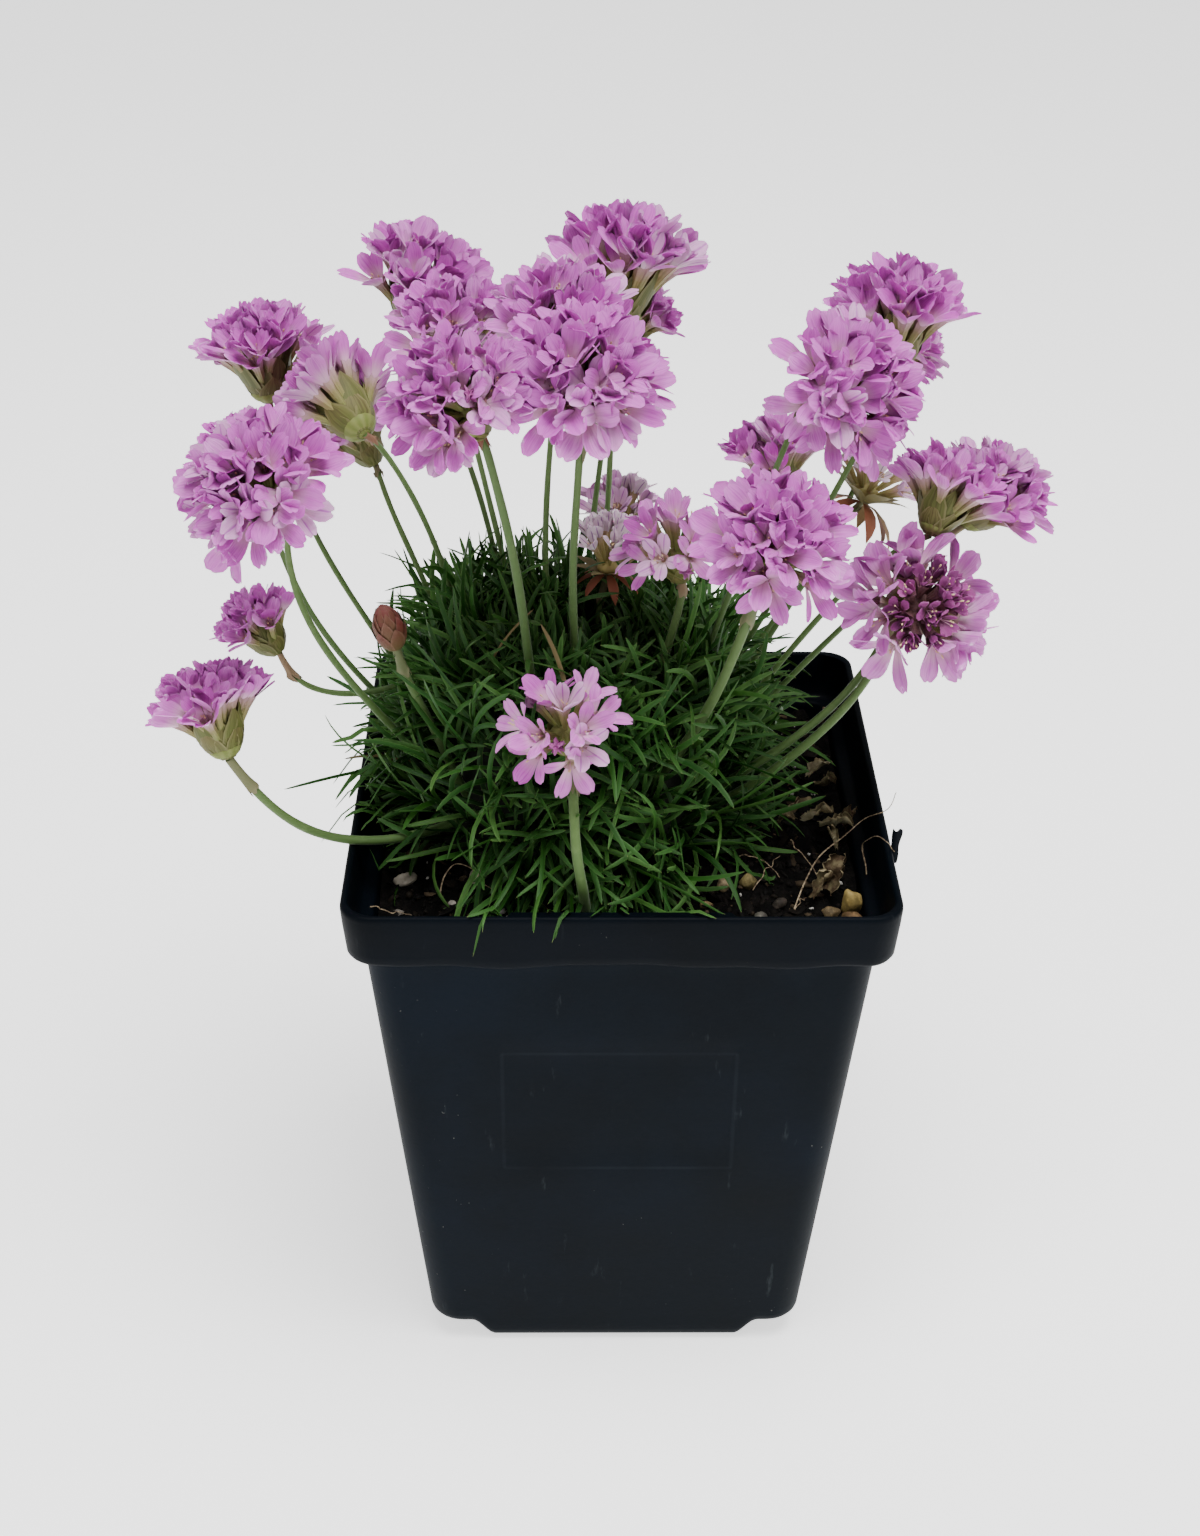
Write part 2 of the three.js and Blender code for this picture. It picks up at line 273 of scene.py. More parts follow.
def square_ring(half, radius, turn):
    """A point of a round-cornered square at a share, turn, of its way round: straight runs
    joined by quarter circles, each as long as it is on the real outline."""
    straight = 2 * (half - radius)
    arc = radius * np.pi / 2
    side = straight + arc
    along = turn * 4 * side
    quarter = np.floor(along / side).astype(int) % 4
    rest = along - np.floor(along / side) * side
    angle = np.clip((rest - straight) / radius, 0, np.pi / 2)
    run = np.minimum(rest, straight) - straight / 2
    x = run + radius * np.sin(angle)
    y = -(half - radius) - radius * np.cos(angle)
    cosine = np.array([1, 0, -1, 0])[quarter]
    sine = np.array([0, 1, 0, -1])[quarter]
    return x * cosine - y * sine, x * sine + y * cosine


def body_half(height):
    """Half the pot's outer width under the collar, growing evenly with the height."""
    return FOOT_HALF + (SHOULDER_HALF - FOOT_HALF) * height / (POT_HEIGHT - COLLAR_HEIGHT)


def corner_lift(x, y):
    """How far the floor is raised: nothing along the sides' middles, and the full raise in
    each corner, with a slope between them."""
    inward = np.minimum(np.abs(x), np.abs(y))
    return CORNER_RAISE * smooth_step(STAND_HALF, STAND_HALF + CORNER_SLOPE, inward)


def pot_rings():
    """The pot as rings of a round-cornered square, carried along the section of its wall:
    floor inside, up the inner wall, over the lip, down the collar and the body, and in
    again under the floor."""
    ledge = POT_HEIGHT - COLLAR_HEIGHT
    heights = (3, 5.5, 12, 25, 40, 60, 80, ledge - 0.3, ledge + 0.7)
    inner = [(share * (body_half(FLOOR) - WALL), FLOOR) for share in (0.02, 0.3, 0.6, 0.85, 0.97)]
    inner += [(body_half(h) - WALL, h) for h in heights]
    step_in = body_half(ledge + WALL) - WALL
    inner += [
        (step_in + 0.25, ledge + 1.1), (step_in + 0.8, ledge + WALL),
        (COLLAR_FOOT_HALF - WALL - 0.5, ledge + WALL + 0.1),
        (COLLAR_FOOT_HALF - WALL, ledge + WALL + 0.7),
        (RIM_HALF - WALL - 0.25, ledge + 5), (RIM_HALF - WALL, POT_HEIGHT - 0.5),
    ]
    lip = [(RIM_HALF - WALL / 2 + WALL / 2 * math.cos(a), POT_HEIGHT - 0.6 + 0.6 * math.sin(a))
           for a in np.linspace(np.pi * 0.85, np.pi * 0.1, 6)]
    outer = [
        (RIM_HALF, POT_HEIGHT - 1), (RIM_HALF - 0.2, ledge + 6), (COLLAR_FOOT_HALF + 0.1, ledge + 2),
        (COLLAR_FOOT_HALF, ledge + 0.7), (COLLAR_FOOT_HALF - 0.25, ledge + 0.15),
        (COLLAR_FOOT_HALF - 0.7, ledge), (SHOULDER_HALF + 0.5, ledge),
        (SHOULDER_HALF + 0.12, ledge - 0.25), (SHOULDER_HALF - 0.02, ledge - 0.9),
    ]
    outer += [(body_half(h), h) for h in (*np.arange(88, 8, -2.5), 6, 4.6)]
    outer += [(body_half(FOOT_ROUND) - FOOT_ROUND * (1 - math.cos(a)), FOOT_ROUND * (1 - math.sin(a)))
              for a in np.linspace(0.1, np.pi / 2, 7)]
    outer += [(share * FOOT_HALF, 0) for share in (0.83, 0.76, 0.7, 0.6, 0.3, 0.02)]
    section = np.array(inner + lip + outer)
    half, height = section[:, :1], np.repeat(section[:, 1:], RING_POINTS, 1)
    inside = (np.arange(len(section)) < len(inner))[:, None]
    radius = np.minimum(CORNER_RADIUS, half * 0.5)
    radius = np.where(inside, np.maximum(radius - WALL, 0.3), radius)
    x, y = square_ring(half, radius, np.arange(RING_POINTS)[None, :] / RING_POINTS)
    foot_share = np.minimum(half, FOOT_HALF) / half
    fade = 1 - smooth_step(4, 22, height)
    lifted = height + corner_lift(x * foot_share, y * foot_share) * fade
    wider = np.where(inside, 1, body_half(lifted) / body_half(height))
    x, y = x * wider, y * wider
    front = (y < -0.9 * half) & (half > 30) & ~inside
    wavy = 0.25 * np.sin(x * 0.16 + 1) + 0.18 * np.sin(x * 0.41) + 0.5 * np.exp(-((x + 5) / 6) ** 2)
    at_step = smooth_step(ledge - 3, ledge - 0.2, height)
    at_step = at_step * (1 - smooth_step(ledge + 0.8, ledge + 4, height))
    lifted = lifted + np.where(front, wavy * at_step, 0)
    across = 1 - smooth_step(PANEL_HALF_WIDTH, PANEL_HALF_WIDTH + 0.35, np.abs(x))
    upward = smooth_step(PANEL_LOW, PANEL_LOW + 2.4, height)
    upward = upward * (1 - smooth_step(PANEL_HIGH, PANEL_HIGH + 2.4, height))
    y = y + np.where(front, PANEL_DEPTH * across * upward, 0)
    pad = 1 - smooth_step(PAD_HALF_WIDTH, PAD_HALF_WIDTH + 0.6, np.abs(x))
    pad = pad * smooth_step(POT_HEIGHT - PAD_HEIGHT, POT_HEIGHT - PAD_HEIGHT + 1, height)
    has_pad = inside & (y < 0) & (height > ledge + WALL)
    y = y + np.where(has_pad, PAD_THICKNESS * pad, 0)
    return stacked(x, y, lifted)


rings = pot_rings()
points = np.concatenate([rings.reshape(-1, 3), [[0, 0, FLOOR], [0, 0, 0]]])
pot_faces = [
    ring_faces(len(rings), RING_POINTS)[:, ::-1],
    fan(RING_POINTS, len(points) - 2),
    fan(RING_POINTS, len(points) - 1, len(points) - 2 - RING_POINTS)[:, [1, 0, 2]],
]

plastic = Finish("black_pot_plastic")
cloudy = plastic.noise(22.0, 4.0, 0.6)
patchy = plastic.noise(14.0, 2.0, 0.5)
fine = plastic.noise(900.0, 3.0, 0.6)
scuffs = plastic.noise(70.0, 4.0, 0.6, plastic.stretched(plastic.place(), 5.0, 5.0, 1.2))
dust = plastic.noise(1500.0, 1.0, 0.4).between(0.77, 0.79) * plastic.noise(45.0, 2.0).between(0.56, 0.7)
_, spot_x, spot_y, spot_z = plastic.split(plastic.place())
from_middle = abs(spot_z - (PANEL_LOW + PANEL_HIGH) / 2 * MM)
beside = abs(abs(spot_x) - PANEL_HALF_WIDTH * MM)
above = abs(from_middle - (PANEL_HIGH - PANEL_LOW) / 2 * MM)
upright_edge = beside.between(0.0005, 0.0001) * from_middle.between(0.0134, 0.0130)
level_edge = above.between(0.0005, 0.0001) * abs(spot_x).between(
    (PANEL_HALF_WIDTH + 0.3) * MM, PANEL_HALF_WIDTH * MM)
panel_edge_highlight = (upright_edge + level_edge) * spot_y.between(-0.02, -0.03) * cloudy.between(0.3, 0.6)
# Painted shade makes the collar a little darker, and a painted highlight lightens the raised edge of the bare
# panel.
black = plastic.coats(
    plastic.mix(cloudy.between(0.3, 0.7), (0.0010, 0.0024, 0.0042), (0.0022, 0.0052, 0.0098)),
    (patchy.between(0.45, 0.65) * 0.5, (0.0024, 0.0034, 0.0036)),
    (scuffs.between(0.64, 0.8) * 0.3, (0.05, 0.06, 0.065)),
    (dust * 0.6, (0.20, 0.20, 0.18)),
    # Painted shade: everything above the collar's ledge is darkened.
    (spot_z.between(0.0895, 0.0925) * 0.55, (0.0008, 0.0012, 0.0018)),
    # Painted highlight along the bare panel's raised edge.
    (panel_edge_highlight * 0.2, (0.022, 0.028, 0.034)),
)
pot_finish = plastic.surface(
    black, 0.42 + 0.2 * cloudy + 0.25 * dust, fine + 0.6 * cloudy, strength=0.2, depth=0.00015,
    Specular_IOR_Level=0.04,
)
pot = make_piece("nursery_pot", points, pot_faces, [pot_finish])
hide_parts("pot")

# The four drain holes are cut through the floor's raised corners with round drills.
disc = turns(DRILL_SIDES)
drill_points, drill_faces = [], []
for sign_x, sign_y in ((-1, -1), (-1, 1), (1, -1), (1, 1)):
    start = len(drill_points)
    middle = len(drill_points) + DRILL_SIDES
    for level in (0.5, 9):
        circle = stacked(
            DRAIN_RADIUS * np.cos(disc) + sign_x * DRAIN_CENTRE,
            DRAIN_RADIUS * np.sin(disc) + sign_y * DRAIN_CENTRE, level)
        drill_points += (circle * MM).tolist()
    drill_faces += ring_faces(2, DRILL_SIDES, start).tolist()
    drill_faces += [range(middle - 1, start - 1, -1), range(middle, middle + DRILL_SIDES)]
drill = bpy.data.objects.new("drill", bpy.data.meshes.new("drill"))
drill.data.from_pydata(drill_points, [], drill_faces)
link(drill)
cut = pot.modifiers.new("drain_holes", "BOOLEAN")
cut.operation = "DIFFERENCE"
cut.solver = "EXACT"
cut.object = drill
bpy.context.view_layer.update()
pot_drained = bpy.data.meshes.new_from_object(pot.evaluated_get(bpy.context.evaluated_depsgraph_get()))
pot.modifiers.clear()
pot.data = pot_drained
bpy.data.objects.remove(drill)


# Potting mix: moist black peat with bark bits, white specks and grit. It fills the pot to
# just under the collar's ledge and mounds a little towards the crown.
MIX_TOP = 90.6
MOUND_RADIUS = 37
MOUND_HEIGHT = 2.6
MIX_GRID = 190
LATTICE = 128
# Loose bits lie, and heights are taken, within this distance of the middle each way.
MIX_REACH = 38


def value_noise(x, y, size, seed):
    """Smooth bumps about size apart: random heights on a square lattice, joined by S curves,
    from -1 to 1."""
    lattice = np.random.default_rng(seed).uniform(-1, 1, (LATTICE, LATTICE))
    column = x / size + LATTICE // 2
    row = y / size + LATTICE // 2
    left = np.floor(column).astype(int)
    low = np.floor(row).astype(int)
    across = smooth_step(0, 1, column - left)
    upward = smooth_step(0, 1, row - low)
    pick = lambda a, b: lattice[(low + b) % LATTICE, (left + a) % LATTICE]
    bottom = pick(0, 0) * (1 - across) + pick(1, 0) * across
    top = pick(0, 1) * (1 - across) + pick(1, 1) * across
    return bottom * (1 - upward) + top * upward


def mix_height(x, y):
    """The mix's surface: a low round mound, with lumps and crumbs of four sizes on it."""
    reach = np.clip(1 - (x * x + y * y) / MOUND_RADIUS ** 2, 0, 1)
    lumps = 0.9 * value_noise(x, y, 9, 1) + 0.6 * value_noise(x, y, 3.6, 2)
    crumbs = 0.5 * value_noise(x, y, 1.5, 3) + 0.25 * value_noise(x, y, 0.7, 4)
    return MIX_TOP + 0.5 + MOUND_HEIGHT * np.sqrt(reach) * 0.8 + lumps + crumbs


share = np.linspace(-1, 1, MIX_GRID)
grid_x, grid_y = np.meshgrid(share, share, indexing="xy")
mix_half = body_half(MIX_TOP) - WALL - 0.25
rounding = 1 - 0.06 * smooth_step(0.9, 1, np.abs(grid_x)) * smooth_step(0.9, 1, np.abs(grid_y))
plan_x = grid_x * mix_half * rounding
plan_y = grid_y * mix_half * rounding
surface = stacked(plan_x, plan_y, mix_height(plan_x, plan_y)).reshape(-1, 3)
number = np.arange(MIX_GRID * MIX_GRID).reshape(MIX_GRID, MIX_GRID)
top_faces = stacked(number[:-1, :-1], number[:-1, 1:], number[1:, 1:], number[1:, :-1]).reshape(-1, 4)
border = np.concatenate([number[0, :-1], number[:-1, -1], number[-1, :0:-1], number[:0:-1, 0]])
levels = (86, 60, 30, FLOOR + 4.2)
skirt = []
for level in levels:
    shrink = (body_half(level) - WALL - 0.35) / mix_half
    skirt.append(surface[border] * [shrink, shrink, 0] + [0, 0, level])
count, start = len(border), len(surface)
ring = start + np.arange(count)
lowest = start + (len(levels) - 1) * count
mix_faces = [
    top_faces,
    ring_faces(len(levels), count, start)[:, ::-1],
    stacked(border, ring, np.roll(ring, -1), np.roll(border, -1)),
    fan(count, lowest + count, lowest)[:, [1, 0, 2]],
]
points = np.concatenate([surface, *skirt, [[0, 0, levels[-1]]]])

peat = Finish("moist_potting_mix")
grain = peat.noise(520.0, 5.0, 0.7)
patch = peat.noise(120.0, 3.0, 0.6)
soil = peat.coats(
    peat.mix(grain.between(0.4, 0.75), (0.0006, 0.0005, 0.0004), (0.0060, 0.0048, 0.0038)),
    (patch.between(0.55, 0.8) * grain.between(0.5, 0.7) * 0.6, (0.02, 0.015, 0.010)),
)
mix_finish = peat.surface(
    soil, 0.7 + 0.2 * patch, grain, strength=0.8, depth=0.0006, Specular_IOR_Level=0.08)
mix = make_piece("potting_mix_surface", points, mix_faces, [mix_finish])
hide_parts("potting_mix")


def unit(vectors):
    return vectors / np.linalg.norm(vectors, axis=-1, keepdims=True)


def frames_along(direction, roll):
    """Turning matrices (n, 3, 3) whose third column is each direction, rolled about it."""
    direction = unit(direction)
    helper = np.where(np.abs(direction[..., 2:3]) < 0.9, [[0.0, 0.0, 1.0]], [[1.0, 0.0, 0.0]])
    side = unit(np.cross(helper, direction))
    front = np.cross(direction, side)
    cosine = np.cos(roll)[..., None]
    sine = np.sin(roll)[..., None]
    return stacked(side * cosine + front * sine, front * cosine - side * sine, direction)


def copies(faces, points_each, count):
    """The faces of count copies of one shape, numbered one copy after another."""
    return (faces[None] + (np.arange(count) * points_each)[:, None, None]).reshape(-1, faces.shape[1])


# Bark crumbs and chips, and light puffed white specks, lie loose on the mix.
GOLDEN_RATIO = (1 + 5 ** 0.5) / 2
LUMP = np.array([
    (-1, GOLDEN_RATIO, 0), (1, GOLDEN_RATIO, 0), (-1, -GOLDEN_RATIO, 0), (1, -GOLDEN_RATIO, 0),
    (0, -1, GOLDEN_RATIO), (0, 1, GOLDEN_RATIO), (0, -1, -GOLDEN_RATIO), (0, 1, -GOLDEN_RATIO),
    (GOLDEN_RATIO, 0, -1), (GOLDEN_RATIO, 0, 1), (-GOLDEN_RATIO, 0, -1), (-GOLDEN_RATIO, 0, 1),
]) / np.hypot(1, GOLDEN_RATIO)
LUMP_FACES = np.array([
    (0, 11, 5), (0, 5, 1), (0, 1, 7), (0, 7, 10), (0, 10, 11), (1, 5, 9), (5, 11, 4), (11, 10, 2),
    (10, 7, 6), (7, 1, 8), (3, 9, 4), (3, 4, 2), (3, 2, 6), (3, 6, 8), (3, 8, 9), (4, 9, 5),
    (2, 4, 11), (6, 2, 10), (8, 6, 7), (9, 8, 1),
])


def scatter(name, count, size, shape, tumble, sink, seed, finish):
    """Small irregular lumps over the mix: an icosahedron each, its corners moved at random.
    size is the middle size, shape the three shares of it, tumble how far a lump may lean,
    and sink the share of its height that is in the mix."""
    local = np.random.default_rng(seed)
    x, y = local.uniform(-MIX_REACH, MIX_REACH, (2, count))
    sizes = size * np.exp(local.normal(0, 0.45, (count, 1))) * shape
    sizes = sizes * local.uniform(0.7, 1.4, (count, 3))
    lumps = LUMP[None] * (1 + local.uniform(-0.28, 0.28, (count, len(LUMP), 1))) * sizes[:, None, :]
    lean = unit(np.array([0, 0, 1.0]) + tumble * local.normal(size=(count, 3)))
    turn = frames_along(lean, local.uniform(0, 2 * np.pi, count))
    lumps = np.einsum("nij,nkj->nki", turn, lumps)
    place = stacked(x, y, mix_height(x, y) + sizes[:, 2] * (1 - 2 * sink))
    shade = np.zeros((count, len(LUMP), 3))
    shade[..., 0] = local.uniform(0, 1, (count, 1))
    points = (lumps + place[:, None, :]).reshape(-1, 3)
    faces = [copies(LUMP_FACES, len(LUMP), count)]
    make_piece(name, points, faces, [finish], {"shade": shade.reshape(-1, 3)})


bits = Finish("bark_and_peat_crumbs")
_, tone, _, _ = bits.attribute("shade")
bark_grain = bits.noise(1400.0, 3.0, 0.6)
brown = bits.ramp(
    tone, (0.0, (0.0012, 0.0010, 0.0008)), (0.6, (0.0045, 0.0034, 0.0026)),
    (0.88, (0.014, 0.010, 0.006)), (0.98, (0.09, 0.065, 0.038)),
)
crumb_finish = bits.surface(
    bits.mix(bark_grain * 0.6, brown, (0.002, 0.0015, 0.001)), 0.75, bark_grain, strength=0.5,
    Specular_IOR_Level=0.12,
)
white = Finish("white_specks")
speck_noise = white.noise(2200.0, 2.0)
speck_colour = white.mix(speck_noise, (0.22, 0.21, 0.18), (0.62, 0.60, 0.55))
speck_finish = white.surface(speck_colour, 0.8, speck_noise)
scatter("bark_crumbs", 2600, 0.34, np.array([1.2, 0.9, 0.7]), 0.8, 0.35, 11, crumb_finish)
scatter("bark_chips", 420, 0.8, np.array([1.5, 0.6, 0.25]), 0.22, 0.2, 12, crumb_finish)
scatter("white_specks", 130, 0.3, np.array([1.0, 0.9, 0.8]), 0.8, 0.15, 13, speck_finish)


# Grit: rounded tan, yellow and pale stones lying on the mix near the front of the pot.
# name: middle, three radii, turn in degrees, colour
STONES = {
    "tall_yellow": ((38.1, -26.3), (1.9, 1.7, 2.6), 15, (0.34, 0.25, 0.08)),
    "low_brown": ((37.9, -29.9), (2.1, 1.7, 1.5), -25, (0.20, 0.12, 0.05)),
    "brown_corner": ((36.2, -35.0), (2.4, 1.7, 1.5), -25, (0.20, 0.12, 0.05)),
    "small_yellow": ((34.6, -28.4), (1.7, 1.2, 1.0), 20, (0.24, 0.17, 0.08)),
    "tan": ((17.2, -23.0), (1.4, 1.2, 1.5), 35, (0.30, 0.23, 0.13)),
    "olive": ((21.4, -22.0), (1.6, 1.3, 1.5), 10, (0.20, 0.16, 0.06)),
    "small_tan": ((14.2, -27.0), (1.1, 0.8, 0.8), 0, (0.28, 0.20, 0.09)),
    "dark": ((26.4, -25.2), (1.5, 1.1, 1.0), 50, (0.05, 0.04, 0.03)),
    "speckled": ((23.0, -29.6), (1.4, 1.2, 1.1), 80, (0.16, 0.15, 0.12)),
    "left_pale": ((-35.8, -19.2), (2.2, 1.4, 1.4), 25, (0.42, 0.38, 0.30)),
    "left_middle": ((-23.3, -19.6), (2.6, 1.7, 1.9), 80, (0.36, 0.34, 0.25)),
    "left_grey": ((-36.5, -27.0), (1.1, 0.8, 0.7), 10, (0.16, 0.14, 0.12)),
    "left_white": ((-27.5, -26.4), (0.8, 0.7, 0.7), 0, (0.55, 0.50, 0.42)),
}
STONE_SEED = 50


def pebble(centre, radii, turn, seed, rows=18, columns=28):
    """A water-worn stone: an ellipsoid whose radius is cut by flat planes at random and
    swells and dips by slow waves of the direction."""
    u = np.linspace(0, np.pi, rows)[1:-1, None]
    v = turns(columns)[None, :]
    direction = stacked(np.sin(u) * np.cos(v), np.sin(u) * np.sin(v), np.cos(u))
    direction = np.concatenate([[[0, 0, 1]], direction.reshape(-1, 3), [[0, 0, -1]]])
    local = np.random.default_rng(seed)
    facing = direction @ unit(local.normal(size=(11, 3))).T
    planes = np.where(facing > 0.1, local.uniform(0.72, 0.86, 11) / np.maximum(facing, 0.1), 9)
    reach = np.minimum(1, planes.min(1))
    waves = np.sin(direction @ (local.normal(size=(5, 3)) * 4).T + local.uniform(0, 6, 5))
    points = direction * (reach + 0.02 * waves.sum(1))[:, None] * radii
    cosine, sine = math.cos(math.radians(turn)), math.sin(math.radians(turn))
    points = points @ np.array([[cosine, sine, 0], [-sine, cosine, 0], [0, 0, 1]])
    base = mix_height(np.array(centre[0]), np.array(centre[1]))
    points = points + [centre[0], centre[1], base + radii[2] * 0.5]
    top = fan(columns, 0, 1)[:, [2, 0, 1]]
    end = fan(columns, len(points) - 1, len(points) - 1 - columns)[:, ::-1]
    return points, [ring_faces(rows - 2, columns, 1)[:, ::-1], top, end]


for seed, (name, (centre, radii, turn, colour)) in enumerate(STONES.items()):
    stone = Finish("stone_" + name)
    speckle = stone.noise(900.0, 4.0, 0.7)
    stain = stone.noise(260.0, 3.0, 0.6)
    stone_colour = stone.coats(
        stone.mix(stain.between(0.35, 0.7), [c * 0.3 for c in colour], colour),
        (speckle.between(0.5, 0.75) * 0.6, [c * 1.5 for c in colour]),
    )
    stone_finish = stone.surface(
        stone_colour, 0.7, speckle, strength=0.6, depth=0.0003, Specular_IOR_Level=0.2)
    points, faces = pebble(centre, radii, turn, STONE_SEED + seed)
    make_piece("grit_" + name, points, faces, [stone_finish])


# Dead leaves: brown crumpled flakes, shed by the plant, lying on the mix on the right.
# name: middle of the flake, length, width, heading and pitch in degrees, how far it rolls
FLAKES = {
    "front": ((35.7, -22.4, 95.2), 7.0, 6.0, 60, 42, 1.7),
    "front_inside": ((33.4, -24.2, 94.0), 5.0, 3.6, 40, 24, 2.3),
    "clump": ((37.6, -6.6, 94.6), 6.0, 4.4, -25, 14, 2.0),
    "clump_edge": ((40.0, -4.8, 95.0), 4.6, 3.4, 60, 30, 1.6),
    "clump_low": ((36.6, -9.8, 94.0), 4.2, 3.0, 105, 18, 2.2),
    "clump_inner": ((34.4, -4.4, 95.4), 5.2, 2.6, 5, 12, 2.2),
    "inner": ((31.0, -4.4, 96.8), 4.6, 2.4, 25, 14, 2.3),
    "inner_pale": ((28.8, -7.0, 96.0), 3.8, 2.0, -40, 26, 1.8),
    "behind": ((35.8, 11.6, 95.0), 5.0, 3.4, 30, 12, 1.6),
    "behind_edge": ((37.6, 8.0, 94.4), 4.0, 2.6, -30, 18, 2.0),
    "far": ((39.8, 30.4, 95.0), 4.4, 3.4, 20, 22, 1.8),
}
FLAKE_ROWS = 17
FLAKE_COLUMNS = 13


def sheet_faces(rows, columns):
    """The faces of a thin closed sheet: an upper grid, and a lower grid that shares its
    border. The lower grid's inner points are numbered after the upper grid's."""
    upper = np.arange(rows * columns).reshape(rows, columns)
    lower = upper.copy()
    inner = np.arange((rows - 2) * (columns - 2)).reshape(rows - 2, columns - 2)
    lower[1:-1, 1:-1] = rows * columns + inner
    quads = lambda n: stacked(n[:-1, :-1], n[1:, :-1], n[1:, 1:], n[:-1, 1:]).reshape(-1, 4)
    return np.concatenate([quads(upper), quads(lower)[:, ::-1]])


def sheet_points(upper, lower):
    """The points of thin closed sheets (n, rows, columns, 3), in the order of sheet_faces."""
    inner = lower[:, 1:-1, 1:-1]
    return np.concatenate([upper.reshape(len(upper), -1, 3), inner.reshape(len(inner), -1, 3)], 1)


def sheet_grid(rows, columns):
    """The shares of a sheet's length, from 0 to 1, and of its half width, from -1 to 1."""
    return np.linspace(0, 1, rows)[:, None], np.linspace(-1, 1, columns)[None, :]


def each(values):
    """One value a sheet, shaped to meet a grid of rows and columns."""
    return np.asarray(values)[:, None, None]


def crumpled_flake(middle, length, width, heading, pitch, roll, seed):
    """A dead leaf as a sheet rolled on a circle across its width, bent along its length and
    crumpled by two sizes of noise. Its outline is a ragged sine."""
    s, t = sheet_grid(FLAKE_ROWS, FLAKE_COLUMNS)
    ragged = 1 + 0.28 * value_noise(s * 40 + seed, 0 * s, 3, seed)
    half = width / 2 * (0.15 + 0.85 * np.sin(np.pi * (0.1 + 0.8 * s)) ** 0.7) * ragged
    angle = t * roll * (0.6 + 0.6 * s)
    radius = half / roll
    x = (s - 0.5) * length + 0.8 * value_noise(s * 10, t * 10, 4, seed + 3)
    y = radius * np.sin(angle)
    z = radius * (1 - np.cos(angle)) + 0.9 * np.sin(s * 2.6) ** 2
    z = z + 0.7 * value_noise(s * 20, t * 12, 5, seed + 1)
    z = z + 0.35 * value_noise(s * 20, t * 12, 2, seed + 2)
    up_turn = np.array(Matrix.Rotation(math.radians(-pitch), 3, "Y"))
    turn = np.array(Matrix.Rotation(math.radians(heading), 3, "Z")) @ up_turn
    upper = stacked(x, y, z + 0 * x) @ turn.T + middle
    thin = 0.12 * np.sin(np.pi * s) * (1 - t * t)
    lower = upper - thin[..., None] * turn[:, 2]
    grow = stacked(s, (t + 1) / 2, (seed * 0.37) % 1)
    return sheet_points(upper[None], lower[None])[0], sheet_points(grow[None], grow[None])[0]


husk = Finish("brown_dead_leaf")
_, _, husk_side, husk_own = husk.attribute("grow")
husk_noise = husk.noise(420.0, 4.0, 0.65)
husk_colour = husk.ramp(
    husk_noise * 0.9 + husk_own * 0.25, (0.25, (0.018, 0.011, 0.006)), (0.45, (0.07, 0.046, 0.025)),
    (0.6, (0.15, 0.125, 0.065)), (0.8, (0.30, 0.28, 0.18)),
)
husk_edge = abs(husk_side - 0.5).between(0.4, 0.5)
husk_colour = husk.mix(husk_edge * 0.6, husk_colour, (0.45, 0.38, 0.22))
husk_finish = husk.surface(
    husk_colour, 0.8, husk_noise, strength=0.6, depth=0.0003, Specular_IOR_Level=0.15)
flakes = [crumpled_flake(*facts, seed) for seed, facts in enumerate(FLAKES.values())]
make_piece(
    "dead_leaves", np.concatenate([points for points, _ in flakes]),
    [copies(sheet_faces(FLAKE_ROWS, FLAKE_COLUMNS), len(flakes[0][0]), len(flakes))], [husk_finish],
    {"grow": np.concatenate([grow for _, grow in flakes])},
)

# Rootlets: fine dry threads that lie over the mix and, on the right, over the rim.
# Each is its radius and the points of its route.
ROOTLETS = (
    (0.14, ((28.4, -29.4, 93.2), (30.1, -24.8, 94.6), (32.6, -19.6, 95.6), (35.2, -15.6, 96.2),
            (38.2, -13.8, 98.0), (41.4, -12.6, 99.6), (43.9, -14.6, 102.6), (45.7, -12.3, 103.2),
            (46.9, -9.8, 103.6))),
    (0.12, ((41.1, -20.0, 93.4), (41.2, -15.0, 95.2), (41.0, -16.5, 98.2), (42.4, -22.4, 102.5),
            (43.6, -24.6, 103.0), (44.6, -26.6, 102.6))),
    (0.11, ((28.4, -29.8, 93.0), (29.6, -27.8, 93.8), (30.6, -26.8, 93.6))),
    (0.10, ((22.0, -24.0, 93.2), (24.6, -19.6, 94.4), (27.0, -15.0, 94.0))),
    (0.13, ((-29.4, -25.6, 93.0), (-29.0, -23.4, 95.6), (-27.0, -22.0, 96.8), (-24.4, -22.2, 96.4),
            (-22.6, -24.4, 95.0), (-21.2, -25.4, 94.2))),
    (0.13, ((-41.0, -28.0, 92.8), (-37.6, -30.2, 93.2), (-34.0, -30.6, 92.8))),
    (0.12, ((20.4, -14.8, 94.0), (23.6, -16.6, 94.6), (26.8, -20.8, 93.8))),
    (0.12, ((29.2, -10.2, 94.0), (31.0, -15.4, 94.5), (33.2, -20.6, 93.8))),
)


def smooth_path(stops, rings):
    """A curve through the stops: on each stretch a cubic whose directions at its ends are
    half the way between the neighbouring stops."""
    stops = np.array(stops, float)
    ends = np.concatenate([2 * stops[:1] - stops[1:2], stops, 2 * stops[-1:] - stops[-2:-1]])
    share = np.linspace(0, len(stops) - 1, rings)
    begin = np.minimum(share.astype(int), len(stops) - 2)
    u = (share - begin)[:, None]
    a, b, c, d = (ends[begin + k] for k in range(4))
    return 0.5 * (2 * b + (c - a) * u + (2 * a - 5 * b + 4 * c - d) * u ** 2 + (3 * (b - c) + d - a) * u ** 3)


